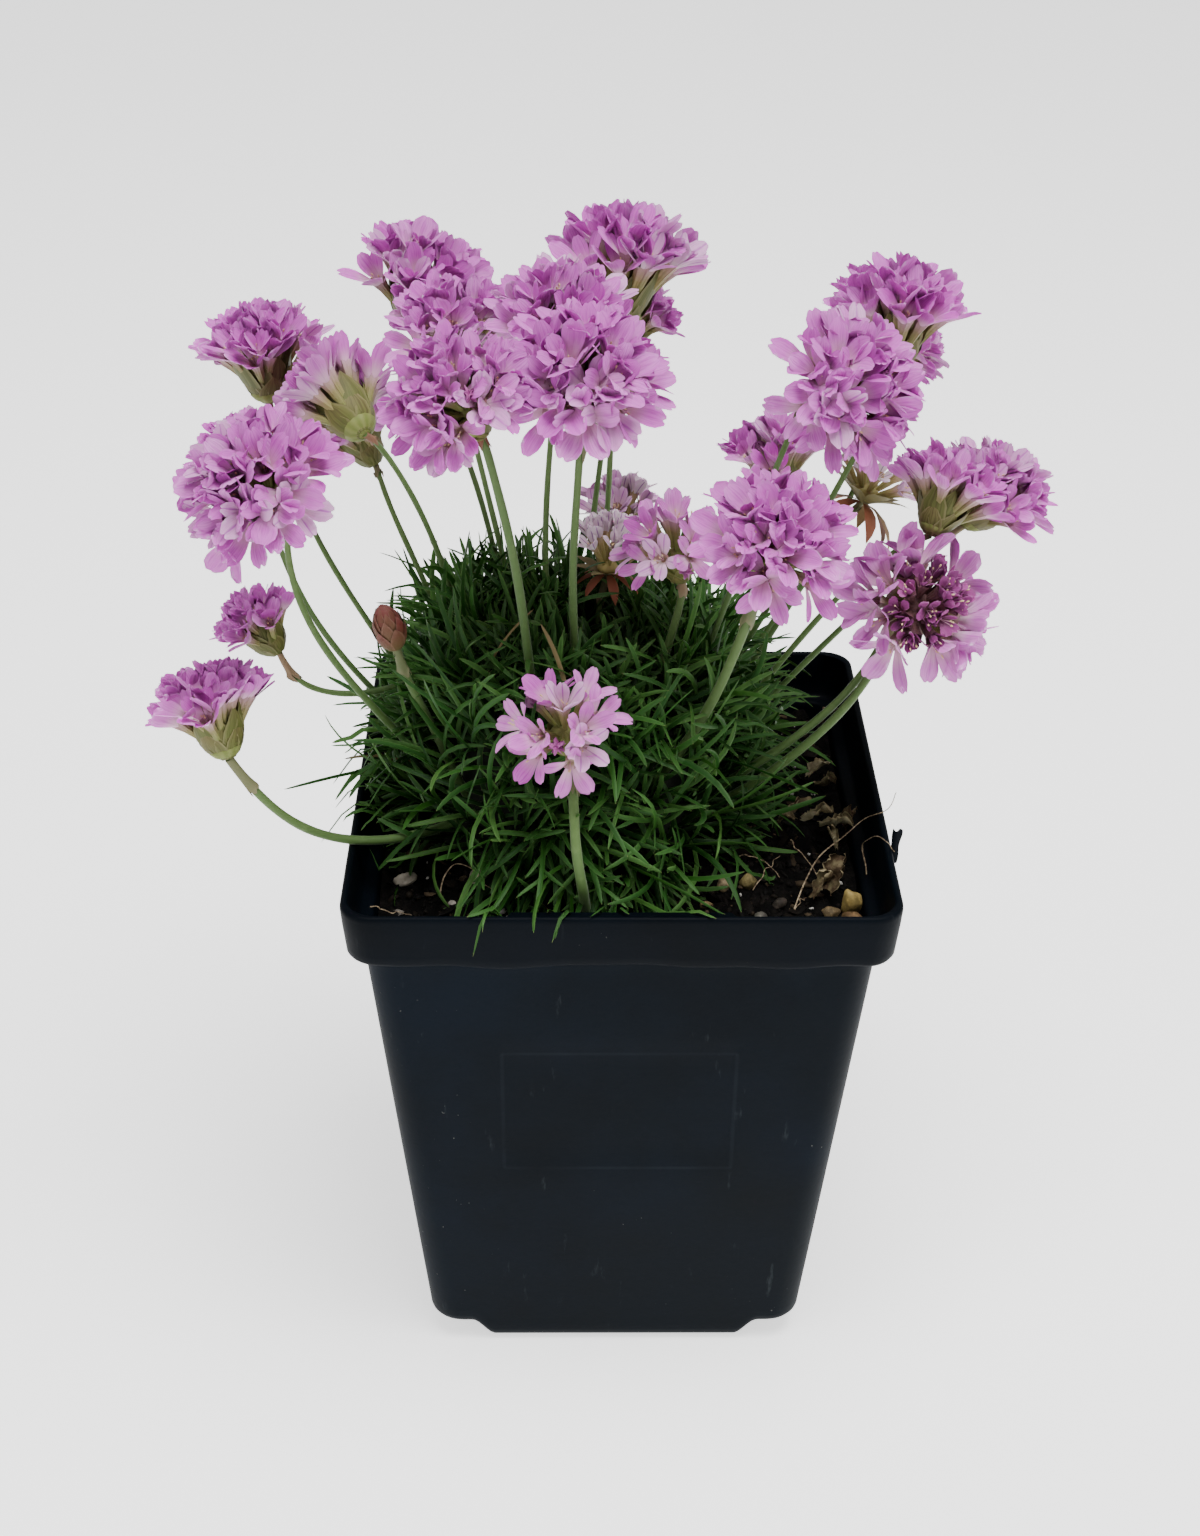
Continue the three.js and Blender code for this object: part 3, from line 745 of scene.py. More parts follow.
def spokes(tangent, sides):
    """Unit vectors square to a path's direction, turned evenly round it."""
    side = unit(np.cross(tangent, [0.03, 1.0, 0.02]))
    front = np.cross(tangent, side)
    angle = turns(sides)[None, :, None]
    return side[:, None] * np.cos(angle) + front[:, None] * np.sin(angle)


def swept_tube(path, radius, sides):
    """A round tube: rings of that radius set square to the path's direction."""
    ring = spokes(unit(np.gradient(path, axis=0)), sides)
    return path[:, None] + ring * np.broadcast_to(radius, (len(path), sides))[..., None]


def closed_tube_faces(rings, sides):
    """The quads of a tube and a many-sided face at each end, turned outwards."""
    end = (rings - 1) * sides + np.arange(sides)
    return [ring_faces(rings, sides), np.arange(sides)[None, ::-1], end[None, :]]


def tube_copies(rings, sides, count):
    """The faces of count closed tubes, one after another."""
    return [copies(part, rings * sides, count) for part in closed_tube_faces(rings, sides)]


dry_thread = Finish("dry_rootlet")
thread_noise = dry_thread.noise(1500.0, 3.0)
thread_colour = dry_thread.mix(thread_noise.between(0.35, 0.65), (0.10, 0.065, 0.035), (0.40, 0.31, 0.19))
thread_finish = dry_thread.surface(thread_colour, 0.7, thread_noise, strength=0.4)
THREAD_RINGS = 40
THREAD_SIDES = 6
threads = []
for number, (thickness, stops) in enumerate(ROOTLETS):
    path = smooth_path(stops, THREAD_RINGS)
    path = path + 0.2 * np.sin(np.linspace(0, 17, THREAD_RINGS)[:, None] * [1, 1.3, 0.7] + number)
    radius = thickness * np.linspace(1, 0.45, THREAD_RINGS)[:, None]
    threads.append(swept_tube(path, radius, THREAD_SIDES).reshape(-1, 3))
faces = tube_copies(THREAD_RINGS, THREAD_SIDES, len(threads))
make_piece("rootlets", np.concatenate(threads), faces, [thread_finish])

# A torn sliver of the pot's own black plastic stands up on the rim on the right.
SLIVER_FOOT = np.array([44.7, -23.8, 98.4])
SLIVER_SIZE = (1.7, 6.6)
rows, columns = 12, 9
s, t = sheet_grid(rows, columns)
sliver_x = SLIVER_SIZE[0] / 2 * t * (0.9 + 0.12 * np.sin(9 * s)) + 0.55 * s
sliver_y = 0.2 * t * t + 0.15 * np.sin(4 * s)
sliver_z = SLIVER_SIZE[1] * s + 0.3 * np.sin(4 * t) * smooth_step(0.7, 1, s)
upper = SLIVER_FOOT + stacked(sliver_x, sliver_y, sliver_z)
lower = upper + [0, 0.35, 0] * (np.sin(np.pi * s) * (1 - t * t))[..., None]
faces = [sheet_faces(rows, columns)[:, ::-1]]
make_piece("plastic_sliver", sheet_points(upper[None], lower[None])[0], faces, [pot_finish])


# Leaf cushion: thousands of narrow, blunt, slightly grooved leaves in crowded tufts over a
# short woody crown. They stand up on its top and arch over its sides, and the lowest lie on
# the mix and over the rim.
CROWN = np.array([-8.0, 2.0, 91.5])
CROWN_RADII = np.array([27.0, 27.0, 36.0])
SHOULDER = 2.8
TUFTS = 250
LEAVES_PER_TUFT = 14
SKIRT_LEAVES = 170
SKIRT_RADIUS = 24.0
LONGEST_LEAF = 31.0
LEAF_RINGS = 9
LEAF_WIDTH = 0.88
PAST_RIM = 45.2
LEAF_SEED = 23
# Leaves are shorter round this place, where the dry head stands among them.
DIP_PLACE = (-5, -2)
DIP_SIZE = 9
# Headings in degrees, anticlockwise from the right as seen from above.
FRONT = 266
FRONT_CORNERS = (228, 318)
# The four points of a leaf's section: where each is across it, and whether it is the keel.
LEAF_SIDE = np.array([0.0, 0.5, 1.0, 0.5])
LEAF_KEEL = np.array([0.0, 0.0, 0.0, 1.0])
DEAD_SHARE = 0.004
STRAY_SHARE = 0.12
# Bare mix near the pot's front corners and right side: (x, y, radius), in millimetres.
BARE_MIX = ((-35, -29, 12), (-29, -20, 6), (27, -29, 13), (36, -9, 10))


def resting_height(x, y):
    """The lowest a leaf may lie: on the mix inside the pot, up over the rim, and falling
    away again outside it."""
    out = np.maximum(np.abs(x), np.abs(y))
    over = POT_HEIGHT + 0.5
    inside = mix_height(np.clip(x, -MIX_REACH, MIX_REACH), np.clip(y, -MIX_REACH, MIX_REACH)) + 0.6
    climbing = inside + (over - inside) * smooth_step(37.5, 42.0, out)
    return np.where(out < PAST_RIM, climbing, over - 1.4 * (out - PAST_RIM))


def leaf_shapes(root, axis, outward, length, width, lean, bend, swing, twist, droop):
    """Leaves as tubes with a four-pointed section: two edges, a groove and a keel. The
    midrib leans from the axis by an angle that grows along it, swings sideways, sinks by the
    droop, and rests on what is under it. The width is even and ends in a blunt point: the
    power 0.6 of 1 less the tenth power of the share of the length. The rings crowd towards
    the tip. All arguments have one row a leaf."""
    s = 1 - (1 - np.linspace(0, 1, LEAF_RINGS)[None, :, None]) ** 1.6
    angle = (lean[:, None] + bend[:, None] * s[..., 0] ** 1.2)[..., None]
    aside = swing[:, None, None] * s
    leant = outward[:, None] * np.cos(aside) + np.cross(axis, outward)[:, None] * np.sin(aside)
    heading = axis[:, None] * np.cos(angle) + leant * np.sin(angle)
    heading = unit(heading - [0, 0, 1] * droop[:, None, None] * s)
    step = length[:, None, None] * np.diff(s, axis=1, prepend=0)
    path = root[:, None] + np.cumsum(heading * step, 1)
    path[..., 2] = np.maximum(path[..., 2], resting_height(path[..., 0], path[..., 1]))
    tangent = unit(np.gradient(path, axis=1))
    side = np.cross(axis, outward)[:, None] + 0 * tangent
    side = unit(side - tangent * np.sum(side * tangent, -1, keepdims=True))
    normal = np.cross(side, tangent)
    roll = (twist[:, None] * s[..., 0])[..., None]
    rolled = side * np.cos(roll) + normal * np.sin(roll)
    normal = normal * np.cos(roll) - side * np.sin(roll)
    half = width[:, None, None] / 2 * (0.75 + 0.25 * smooth_step(0, 0.3, s))
    half = half * ((1 - s ** 10) ** 0.6 + 0.02)
    section = ((-1, 0.22), (0, 0.0), (1, 0.22), (0, -0.38))
    points = np.stack([path + rolled * half * a + normal * half * b for a, b in section], 2)
    return points, s[..., 0]


def golden_directions(count, low, high):
    """Directions spread evenly over a band of the sphere, by the golden angle."""
    index = np.arange(count) + 0.5
    rise = low + (high - low) * index / count
    turn = index * np.pi * (3 - 5 ** 0.5)
    flat_length = np.sqrt(np.maximum(0, 1 - rise * rise))
    return stacked(flat_length * np.cos(turn), flat_length * np.sin(turn), rise)


random = np.random.default_rng(LEAF_SEED)
tuft_out = golden_directions(TUFTS, 0.12, 1.0) + random.normal(0, 0.06, (TUFTS, 3))
tuft_out = unit(tuft_out * [1, 1, 0] + [0, 0, 1] * np.abs(tuft_out[:, 2:]))
# The crown is an ellipsoid with fuller shoulders: a sum of powers above 2, not of squares.
fuller = np.sum(np.abs(tuft_out) ** SHOULDER, 1, keepdims=True) ** (-1 / SHOULDER)
tuft_root = CROWN + tuft_out * CROWN_RADII * fuller * random.uniform(0.78, 0.98, (TUFTS, 1))
tuft_axis = unit(tuft_out + [0, 0, 0.22] + random.normal(0, 0.11, (TUFTS, 3)))
tuft = np.repeat(np.arange(TUFTS), LEAVES_PER_TUFT)
outer = (np.tile(np.arange(LEAVES_PER_TUFT), TUFTS) + 0.5) / LEAVES_PER_TUFT
crowded = len(tuft)
dip = np.exp(-np.sum(((tuft_root[tuft][:, :2] - DIP_PLACE) / DIP_SIZE) ** 2, 1))
spin = outer * LEAVES_PER_TUFT * 2.4 + random.uniform(0, 1.6, crowded) + tuft
tuft_leaves = {
    "root": tuft_root[tuft] + random.normal(0, 1.5, (crowded, 3)),
    "axis": tuft_axis[tuft],
    "outward": frames_along(tuft_axis[tuft], spin)[:, :, 0],
    "length": random.uniform(14, 24, crowded) * (0.8 + 0.25 * outer) * (1 - 0.55 * dip),
    "width": LEAF_WIDTH * random.uniform(0.78, 1.08, crowded),
    "lean": np.radians(2 + 20 * outer + random.uniform(-5, 5, crowded)),
    "bend": np.radians(22 + 46 * outer + random.uniform(-32, 32, crowded)),
    "swing": random.uniform(-1.3, 1.3, crowded),
    "twist": random.uniform(-0.7, 0.7, crowded),
    "droop": random.uniform(0.0, 1.3, crowded) * (1 - tuft_out[tuft][:, 2]) ** 1.4,
}
heading = random.uniform(0, 2 * np.pi, SKIRT_LEAVES)
swerve = heading + random.normal(0, 0.45, SKIRT_LEAVES)
# Towards the two front corners of the pot the leaves stay shorter and leave the mix bare,
# and between them they are long enough to hang over the rim.
corner_gap = sum(np.exp(-((heading - np.radians(corner)) / 0.42) ** 2) for corner in FRONT_CORNERS)
ahead = np.exp(-((heading - np.radians(FRONT)) / 0.4) ** 2)
skirt_axis = stacked(np.cos(swerve), np.sin(swerve), random.uniform(0.1, 0.65, SKIRT_LEAVES))
skirt_leaves = {
    "root": CROWN + stacked(
        SKIRT_RADIUS * np.cos(heading), SKIRT_RADIUS * np.sin(heading),
        random.uniform(1.5, 9, SKIRT_LEAVES)),
    "axis": unit(skirt_axis),
    "outward": frames_along(skirt_axis, random.uniform(0, 2 * np.pi, SKIRT_LEAVES))[:, :, 0],
    "length": np.minimum(
        random.uniform(17, 29, SKIRT_LEAVES) * (1 - 0.4 * corner_gap + 0.25 * ahead), LONGEST_LEAF),
    "width": LEAF_WIDTH * random.uniform(0.75, 1.0, SKIRT_LEAVES),
    "lean": np.radians(random.uniform(-5, 12, SKIRT_LEAVES)),
    "bend": np.radians(random.uniform(15, 80, SKIRT_LEAVES)),
    "swing": random.uniform(-1.5, 1.5, SKIRT_LEAVES),
    "twist": random.uniform(-0.6, 0.6, SKIRT_LEAVES),
    "droop": random.uniform(0.3, 1.1, SKIRT_LEAVES),
}
all_leaves = {key: np.concatenate([tuft_leaves[key], skirt_leaves[key]]) for key in tuft_leaves}
leaf_points, leaf_s = leaf_shapes(**all_leaves)
tip = leaf_points[:, -1, 0, :2]
over_bare = tip[:, 0] < -44
for x, y, radius in BARE_MIX:
    over_bare |= np.linalg.norm(tip - [x, y], axis=1) < radius
leaf_points = leaf_points[~over_bare | (random.uniform(0, 1, len(tip)) < STRAY_SHARE)]
leaf_count = len(leaf_points)
# How far out in the cushion each leaf point lies; the leaf material paints shade on the deep ones.
depth = (np.linalg.norm((leaf_points - CROWN) / (CROWN_RADII * 1.45), axis=-1) - 0.62) / 0.36
one_each = (leaf_count, 1, 1)
grow = stacked(leaf_s[..., None], LEAF_SIDE, random.uniform(0, 1, one_each))
state = stacked(np.clip(depth, 0, 1), LEAF_KEEL, random.uniform(0, 1, one_each) < DEAD_SHARE)

blade = Finish("grooved_green_leaf")
_, leaf_along, leaf_side, leaf_own = blade.attribute("grow")
_, leaf_shade_depth, leaf_under, leaf_dead = blade.attribute("state")
veins = blade.noise(900.0, 3.0, 0.6)
leaf_green = blade.ramp(
    leaf_own * 0.75 + veins * 0.3, (0.0, (0.005, 0.036, 0.003)), (0.35, (0.009, 0.064, 0.004)),
    (0.65, (0.022, 0.098, 0.009)), (0.9, (0.055, 0.145, 0.024)), (1.0, (0.10, 0.18, 0.045)),
)
leaf_colour = blade.coats(
    leaf_green,
    # Painted shade darkens the leaves deep in the cushion.
    (1 - leaf_shade_depth, (0.002, 0.008, 0.001)),
    # Painted sheen lightens the outer half of each leaf.
    (leaf_along.between(0.45, 1.0) * 0.35, (0.055, 0.120, 0.034)),
    # Painted rim light lightens both edges of each leaf.
    (abs(leaf_side - 0.5).between(0.4, 0.5) * 0.35, (0.12, 0.20, 0.07)),
    (leaf_under * 0.35, (0.009, 0.028, 0.008)),
    (leaf_along.between(0.98, 1.0) * 0.4, (0.24, 0.20, 0.08)),
    (leaf_dead * 0.9, (0.15, 0.11, 0.05)),
)
leaf_finish = blade.surface(
    leaf_colour, 0.42 + 0.2 * veins, veins, strength=0.25, depth=0.0001,
    Subsurface_Weight=0.06, Subsurface_Radius=(0.0006, 0.001, 0.0003), Specular_IOR_Level=0.15,
)
# The leaves are two pieces, so that neither mesh grows too large.
for part, chosen in enumerate(np.array_split(np.arange(leaf_count), 2)):
    faces = tube_copies(LEAF_RINGS, len(LEAF_SIDE), len(chosen))
    attributes = {"grow": grow[chosen].reshape(-1, 3), "state": state[chosen].reshape(-1, 3)}
    points = leaf_points[chosen].reshape(-1, 3)
    piece = make_piece(f"leaves_{part + 1}", points, faces, [leaf_finish], attributes)
    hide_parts("leaf_cushion")

# The crown inside the cushion: a rough heart of stem bases and dead leaf sheaths, coloured near black as
# painted shade of the cushion's shaded inside.
HEART_ROWS = 26
HEART_COLUMNS = 64
HEART_SHARE = 0.86
rise = np.linspace(0, np.pi / 2, HEART_ROWS)[:-1, None]
turn = turns(HEART_COLUMNS)[None, :]
outwards = stacked(np.cos(rise) * np.cos(turn), np.cos(rise) * np.sin(turn), np.sin(rise))
rough = HEART_SHARE * (1 + 0.05 * value_noise(turn * 20, rise * 30, 1.7, 8))
heart_points = (CROWN + outwards * CROWN_RADII * rough[..., None]).reshape(-1, 3)
heart_points = np.concatenate([heart_points, [CROWN + [0, 0, CROWN_RADII[2] * HEART_SHARE], CROWN]])
heart_faces = [
    ring_faces(HEART_ROWS - 1, HEART_COLUMNS),
    fan(HEART_COLUMNS, len(heart_points) - 2, len(heart_points) - 2 - HEART_COLUMNS),
    fan(HEART_COLUMNS, len(heart_points) - 1)[:, [1, 0, 2]],
]
heart = Finish("dark_crown_painted_shade")
heart_noise = heart.noise(600.0, 4.0, 0.7)
# Near black: dark stem bases and sheaths, darkened further as painted shade of the cushion's inside.
heart_colour = heart.mix(heart_noise, (0.0015, 0.0025, 0.001), (0.010, 0.015, 0.005))
heart_finish = heart.surface(heart_colour, 0.95, heart_noise, strength=0.9)
crown = make_piece("crown_heart", heart_points, heart_faces, [heart_finish])
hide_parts("crown")


# Scapes: smooth leafless flower stalks, one to a head, stouter at the front. Each bends in a
# parabola through its foot in the crown, its middle and its neck. A papery sheath lies close
# round its top and is torn at its lower edge. Sizes and places are in millimetres.
SCAPE_SIDES = 12
SCAPE_RINGS = 30
SHEATH_SIDES = 16
SHEATH_RINGS = 8
SHEATH_LENGTH = 7.5
SCAPE_SEED = 70
# name: form, middle of the ball of florets, radius, way it faces, foot, middle of the scape
FLOWERS = {
    "top_middle": ("side", (1.2, 26, 185.2), 12, (0.12, 0.3, 1), (-5, 12, 98), (-2.5, 17, 139)),
    "top_left": ("side", (-32.3, 32, 179.8), 11, (0.3, -0.25, 0.9), (-16, 13, 98), (-22, 19, 137)),
    "in_bud": ("in_bud", (-26.5, 12, 179.5), 9.6, (0.1, -0.2, 1), (-14, 8, 98), (-19.5, 10, 138)),
    "upper_middle": ("side", (-10, 4, 183.6), 10.2, (0, -0.25, 1), (-11, 4, 98), (-12, 4, 147)),
    "behind_top": ("side", (4, 38, 171.6), 7.2, (0.5, 0.3, 1), (-5, 16, 98), (-4.5, 23, 138)),
    "front_middle": ("open", (-6, -18, 181), 11.8, (0.05, -0.45, 1), (-6, -7, 98), (-7.5, -11, 140)),
    "front_left": ("open", (-25, -22, 179.6), 10.4, (-0.3, -0.5, 0.8), (-12, -10, 98), (-17, -16, 148)),
    "turned_away": ("side", (-46.3, 10, 166.8), 10, (-0.5, 0.75, 0.35), (-20, 6, 98), (-31.5, 8, 142)),
    "behind_turned": ("side", (-45, 24, 155), 7, (-0.5, 0.3, 0.8), (-21, 10, 98), (-34.5, 14, 134)),
    "far_left": ("side", (-58.8, 18, 172.8), 10, (-0.1, 0.15, 1), (-24, 9, 98), (-46.5, 13, 130)),
    "left_open": ("open", (-54.9, -24, 166), 11, (-0.3, -0.65, 0.75), (-24, -5, 98), (-46.5, -13, 131)),
    "left_behind": ("side", (-59.5, -1, 161.5), 9, (-0.3, 0, 1), (-25, 2, 98), (-48, -1, 128)),
    "left_half": ("side", (-60.7, -2, 132.4), 7.2, (-0.6, 0.2, 0.8), (-31, 0, 121), (-47.5, -3, 118.6)),
    "left_low": ("side", (-64.8, -24, 129.2), 9.4, (-0.3, 0.35, 0.9), (-24, -14, 102), (-46, -24, 103.5)),
    "closed_bud": ("closed", (-37, -14, 136.6), 2.65, (-0.25, -0.1, 1), (-23, -10, 98), (-31, -12, 117)),
    "low_front": (
        "few", (-9.8, -34, 131.2), 9.8, (-0.15, -0.6, 0.8), (-5.6, -29.5, 91.1), (-6.7, -38.6, 107.8)),
    "faded": ("faded", (0.5, 36, 137), 7.6, (0, 0.1, 1), (-3, 20, 98), (0, 29, 117)),
    "dry": ("dry", (-2, 6, 143.2), 6.2, (0, 0, 1), (-5, 1, 98), (-4.5, 4, 120)),
    "middle_few": ("few", (7.4, -8, 150.4), 9.6, (-0.25, -0.3, 1), (0, -3, 98), (7.5, -6, 127)),
    "right_open": ("open", (23, -26, 158), 11, (0.15, -0.5, 0.9), (-3, -13, 98), (11, -18, 119)),
    "right_behind": ("side", (26.3, 24, 151.9), 9, (-0.1, 0.3, 1), (6, 14, 98), (19.5, 19, 129)),
    "right_upper": ("open", (34.8, -8, 175.2), 11.4, (0.45, -0.5, 0.45), (6, -1, 98), (20.5, -3, 147)),
    "top_right": ("side", (44.6, 18, 179.6), 11, (0.05, 0.3, 1), (9, 9, 98), (34.5, 10, 147)),
    "behind_right": ("side", (50.5, 35, 167), 7.2, (0.8, 0.3, 0.4), (10, 13, 98), (38, 24, 138)),
    "spent": ("spent", (45, 19, 152.6), 8.6, (0.4, 0.2, 0.8), (12, 6, 98), (31, 14, 130)),
    "right_side": ("side", (52.4, -2, 157), 8.8, (0.35, 0.4, 0.85), (12, 0, 98), (33, 1, 131)),
    "far_right": ("side", (62.6, 6, 153), 9.2, (0.62, 0.05, 0.75), (14, 4, 98), (37, 6, 126)),
    "low_right": ("ring", (48.4, -16, 142.6), 11.4, (0.3, -0.75, 0.6), (11, -10, 98), (33, -12, 116.5)),
}
SECOND_SCAPE = ((9.5, -8, 99), (32, -10.6, 117.6), (44.3, -4.9, 133.2))
# The radius at the foot of the stoutest scapes.
STOUT_SCAPES = {"right_open": 0.9, "low_front": 0.86, "middle_few": 0.72}
# How brown a sheath is, from 0, olive, to 1, red-brown, where the rest are at random.
SHEATH_TONES = {
    "right_open": 0.05, "front_left": 0.95, "turned_away": 0.85, "far_left": 0.75,
    "low_front": 0.15, "middle_few": 0.6, "closed_bud": 0.08,
}

stalk = Finish("green_scape")
_, stalk_along, _, stalk_own = stalk.attribute("grow")
stripes = stalk.noise(700.0, 3.0, 0.6)
stalk_green = stalk.coats(
    stalk.mix(stalk_along, (0.046, 0.105, 0.020), (0.092, 0.150, 0.040)),
    (stripes.between(0.45, 0.8) * 0.3, (0.17, 0.25, 0.09)),
    (stalk_own * 0.3, (0.040, 0.085, 0.022)),
)
scape_finish = stalk.surface(
    stalk_green, 0.5 + 0.2 * stripes, stripes, strength=0.2, depth=0.0001, Sheen_Weight=0.15,
    Sheen_Roughness=0.4, Subsurface_Weight=0.08, Subsurface_Radius=(0.0008, 0.001, 0.0004),
    Specular_IOR_Level=0.3,
)
papery = Finish("papery_brown_sheath")
_, sheath_along, _, sheath_own = papery.attribute("grow")
fibre = papery.noise(1500.0, 3.0, 0.6)
sheath_colour = papery.ramp(
    sheath_own + fibre * 0.2 - 0.1, (0.0, (0.085, 0.115, 0.04)), (0.5, (0.17, 0.14, 0.07)),
    (0.75, (0.20, 0.11, 0.06)), (1.0, (0.17, 0.055, 0.035)),
)
sheath_colour = papery.mix(sheath_along.between(0.3, 0.0) * 0.35, sheath_colour, (0.22, 0.18, 0.10))
sheath_finish = papery.surface(sheath_colour, 0.75, fibre, strength=0.5, depth=0.0001)


def scape_route(foot, middle, neck, share):
    """The parabola that passes through foot, middle and neck at shares 0, a half and 1."""
    foot, middle, neck = (np.array(point, float) for point in (foot, middle, neck))
    pull = 2 * middle - (foot + neck) / 2
    share = share[:, None]
    return (1 - share) ** 2 * foot + 2 * share * (1 - share) * pull + share ** 2 * neck


def make_scape(name, foot, middle, neck, seed, stout, tone=None):
    """One scape with its sheath. The scape is a tapering tube. The sheath is a thin sleeve
    with an outer and an inner wall, drawn in a ring: up outside and down inside. Its lower
    edge flares by the cube of the distance from its top, and teeth of random length are torn
    out of it."""
    local = np.random.default_rng(seed)
    tone = local.uniform(0, 0.65) if tone is None else tone
    share = np.linspace(0, 1, SCAPE_RINGS)
    path = scape_route(foot, middle, neck, share)
    length = np.linalg.norm(np.diff(path, axis=0), axis=1).sum()
    wander = 0.3 * np.sin(share * 7 + local.uniform(0, 6)) * np.sin(np.pi * share)
    path = path + stacked(wander, wander * 0.5, 0 * wander)
    radius = stout * (1.08 - 0.24 * share) + 0.02 * np.sin(share * 30 + seed)
    tube = swept_tube(path, radius[:, None], SCAPE_SIDES)
    round_share = np.arange(SCAPE_SIDES) / SCAPE_SIDES
    stem_grow = stacked(share[:, None], round_share[None, :], local.uniform())
    faces = closed_tube_faces(SCAPE_RINGS, SCAPE_SIDES)
    plain = sum(len(part) for part in faces)

    up = np.linspace(0, 1, SHEATH_RINGS)
    along = np.concatenate([up, up[::-1]])[:, None]
    outward = np.repeat([1.0, 0.0], SHEATH_RINGS)[:, None]
    ring_share = 1 - SHEATH_LENGTH / length * (1 - along[:, 0])
    ragged = local.uniform(0, 1, (1, SHEATH_SIDES))
    at_rings = lambda values: stacked(*(np.interp(ring_share, share, column) for column in values.T))
    close = np.interp(ring_share, share, radius)[:, None] + 0.02 + 0.08 * outward
    close = close + 0.32 * (1 - along) ** 3 * (0.3 + ragged)
    tangent = unit(at_rings(unit(np.gradient(path, axis=0))))
    tear = (1 - along) ** 2 * ragged * 2.4
    sleeve = at_rings(path)[:, None] + spokes(tangent, SHEATH_SIDES) * close[..., None]
    sleeve = sleeve + tangent[:, None] * tear[..., None]
    sleeve_grow = stacked(along, turns(SHEATH_SIDES) / (2 * np.pi), tone)
    loop = tube.size // 3 + np.arange(2 * SHEATH_RINGS * SHEATH_SIDES).reshape(-1, SHEATH_SIDES)
    beyond, next_to = np.roll(loop, -1, 0), np.roll(loop, -1, 1)
    sleeve_faces = stacked(loop, next_to, np.roll(beyond, -1, 1), beyond).reshape(-1, 4)
    points = np.concatenate([tube.reshape(-1, 3), sleeve.reshape(-1, 3)])
    attributes = {"grow": np.concatenate([stem_grow.reshape(-1, 3), sleeve_grow.reshape(-1, 3)])}
    index = np.repeat([0, 1], [plain, len(sleeve_faces)])
    finishes = [scape_finish, sheath_finish]
    return make_piece(name, points, faces + [sleeve_faces], finishes, attributes, index)


def neck_depth(radius):
    """How far behind its middle a head meets its scape: its radius, and more on a bud."""
    return radius * (1.4 if radius < 6 else 1.05)


for number, (name, (_, centre, radius, axis, foot, middle)) in enumerate(FLOWERS.items()):
    neck = np.array(centre, float) - unit(np.array(axis, float)) * neck_depth(radius)
    stout = STOUT_SCAPES.get(name, 0.52 + 0.24 * smooth_step(0, -12, foot[1]))
    tone = SHEATH_TONES.get(name)
    piece = make_scape("scape_with_sheath_" + name, foot, middle, neck, SCAPE_SEED + number, stout, tone)
    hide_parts("scape_" + name)
make_scape("scape_low_right_second", *SECOND_SCAPE, SCAPE_SEED + 29, 0.7, 0.4)


# Flower heads: florets that fan out from a small seat just over the neck, each with a ribbed
# green calyx that opens in a papery mouth, and five spoon-shaped lilac petals. Broad olive
# bracts hold them in a cup, or hang down under a dead head.
PETAL_ROWS = 8
PETAL_COLUMNS = 5
CALYX_SIDES = 10
CORE_SIDES = 16
HEAD_SEED = 200
# Where petals and stamens leave a calyx, as a share of its length.
PETAL_SEAT = 0.84
# Sections as (share of the length, share of the radius).
CALYX_SECTION = ((0, 0.2), (0.22, 0.3), (0.45, 0.52), (0.78, 0.66), (1, 1), (0.86, 0.42))
CORE_SECTION = ((0, 0.3), (0.2, 0.75), (0.45, 1), (0.7, 0.92), (0.9, 0.6), (1, 0.2))
STAMEN_SECTION = ((0, 0.3), (0.8, 0.3), (0.86, 1), (0.96, 0.9), (1, 0.1))
STAMENS = 3
STAMEN_SIDES = 4
PETALS = 5
# form: florets, widest angle of a calyx from the head's axis, lengths of the middle and the
# outermost calyces, length of the petals, angles of their tips from the floret's axis in the
# middle and at the edge, depth of the seat behind the middle, share of closed florets, how
# far the petals have faded, and the size of the cup of bracts. Lengths are shares of the
# head's radius, and angles are in degrees.
FORM_FACTS = (
    "count", "widest", "middle", "outermost", "petal", "spread", "edge", "seat", "closed", "fade", "cup")
FORMS = {
    "side": (26, 43, 1.14, 0.96, 0.62, 34, 40, 0.98, 0.04, 0.0, 1.12),
    "open": (32, 62, 0.86, 0.74, 0.6, 42, 56, 0.55, 0.03, 0.0, 0.6),
    "in_bud": (28, 52, 1.05, 0.84, 0.6, 36, 44, 0.95, 0.06, 0.0, 0.8),
    "few": (13, 62, 0.84, 0.64, 0.56, 26, 76, 0.7, 0.12, 0.05, 0.6),
    "ring": (32, 82, 0.56, 0.62, 0.66, 44, 64, 0.5, 0.0, 0.1, 0.55),
    "faded": (20, 42, 1.1, 0.9, 0.58, 34, 46, 0.98, 0.1, 0.5, 0.9),
    "dry": (18, 34, 1.2, 1.1, 0.62, 16, 28, 1.0, 0.0, 1.0, 1.0),
    "spent": (11, 60, 0.9, 0.85, 0.4, 24, 40, 0.98, 0.5, 0.75, 1.2),
}
# Two layers of bracts, the inner first: their number, length and half width as shares of the
# head's radius, and the angles from its axis at their foot and end. DEAD_BRACTS hang down.
CUP_BRACTS = ((10, 0.92, 0.21, 48, 4), (8, 0.62, 0.18, 56, 10))
DEAD_BRACTS = ((9, 0.8, 0.13, 48, 84), (7, 0.95, 0.1, 84, 158))


def running(steps, start=0.0):
    """The sum of the steps up to each row, from the start at the first row."""
    return start + np.cumsum(steps, 1) - steps[:, :1]


def about_axis(out, aside, turn):
    """The x and y of a point that is so far out, and so far aside, on a turned heading."""
    return out * np.cos(turn) - aside * np.sin(turn), out * np.sin(turn) + aside * np.cos(turn)


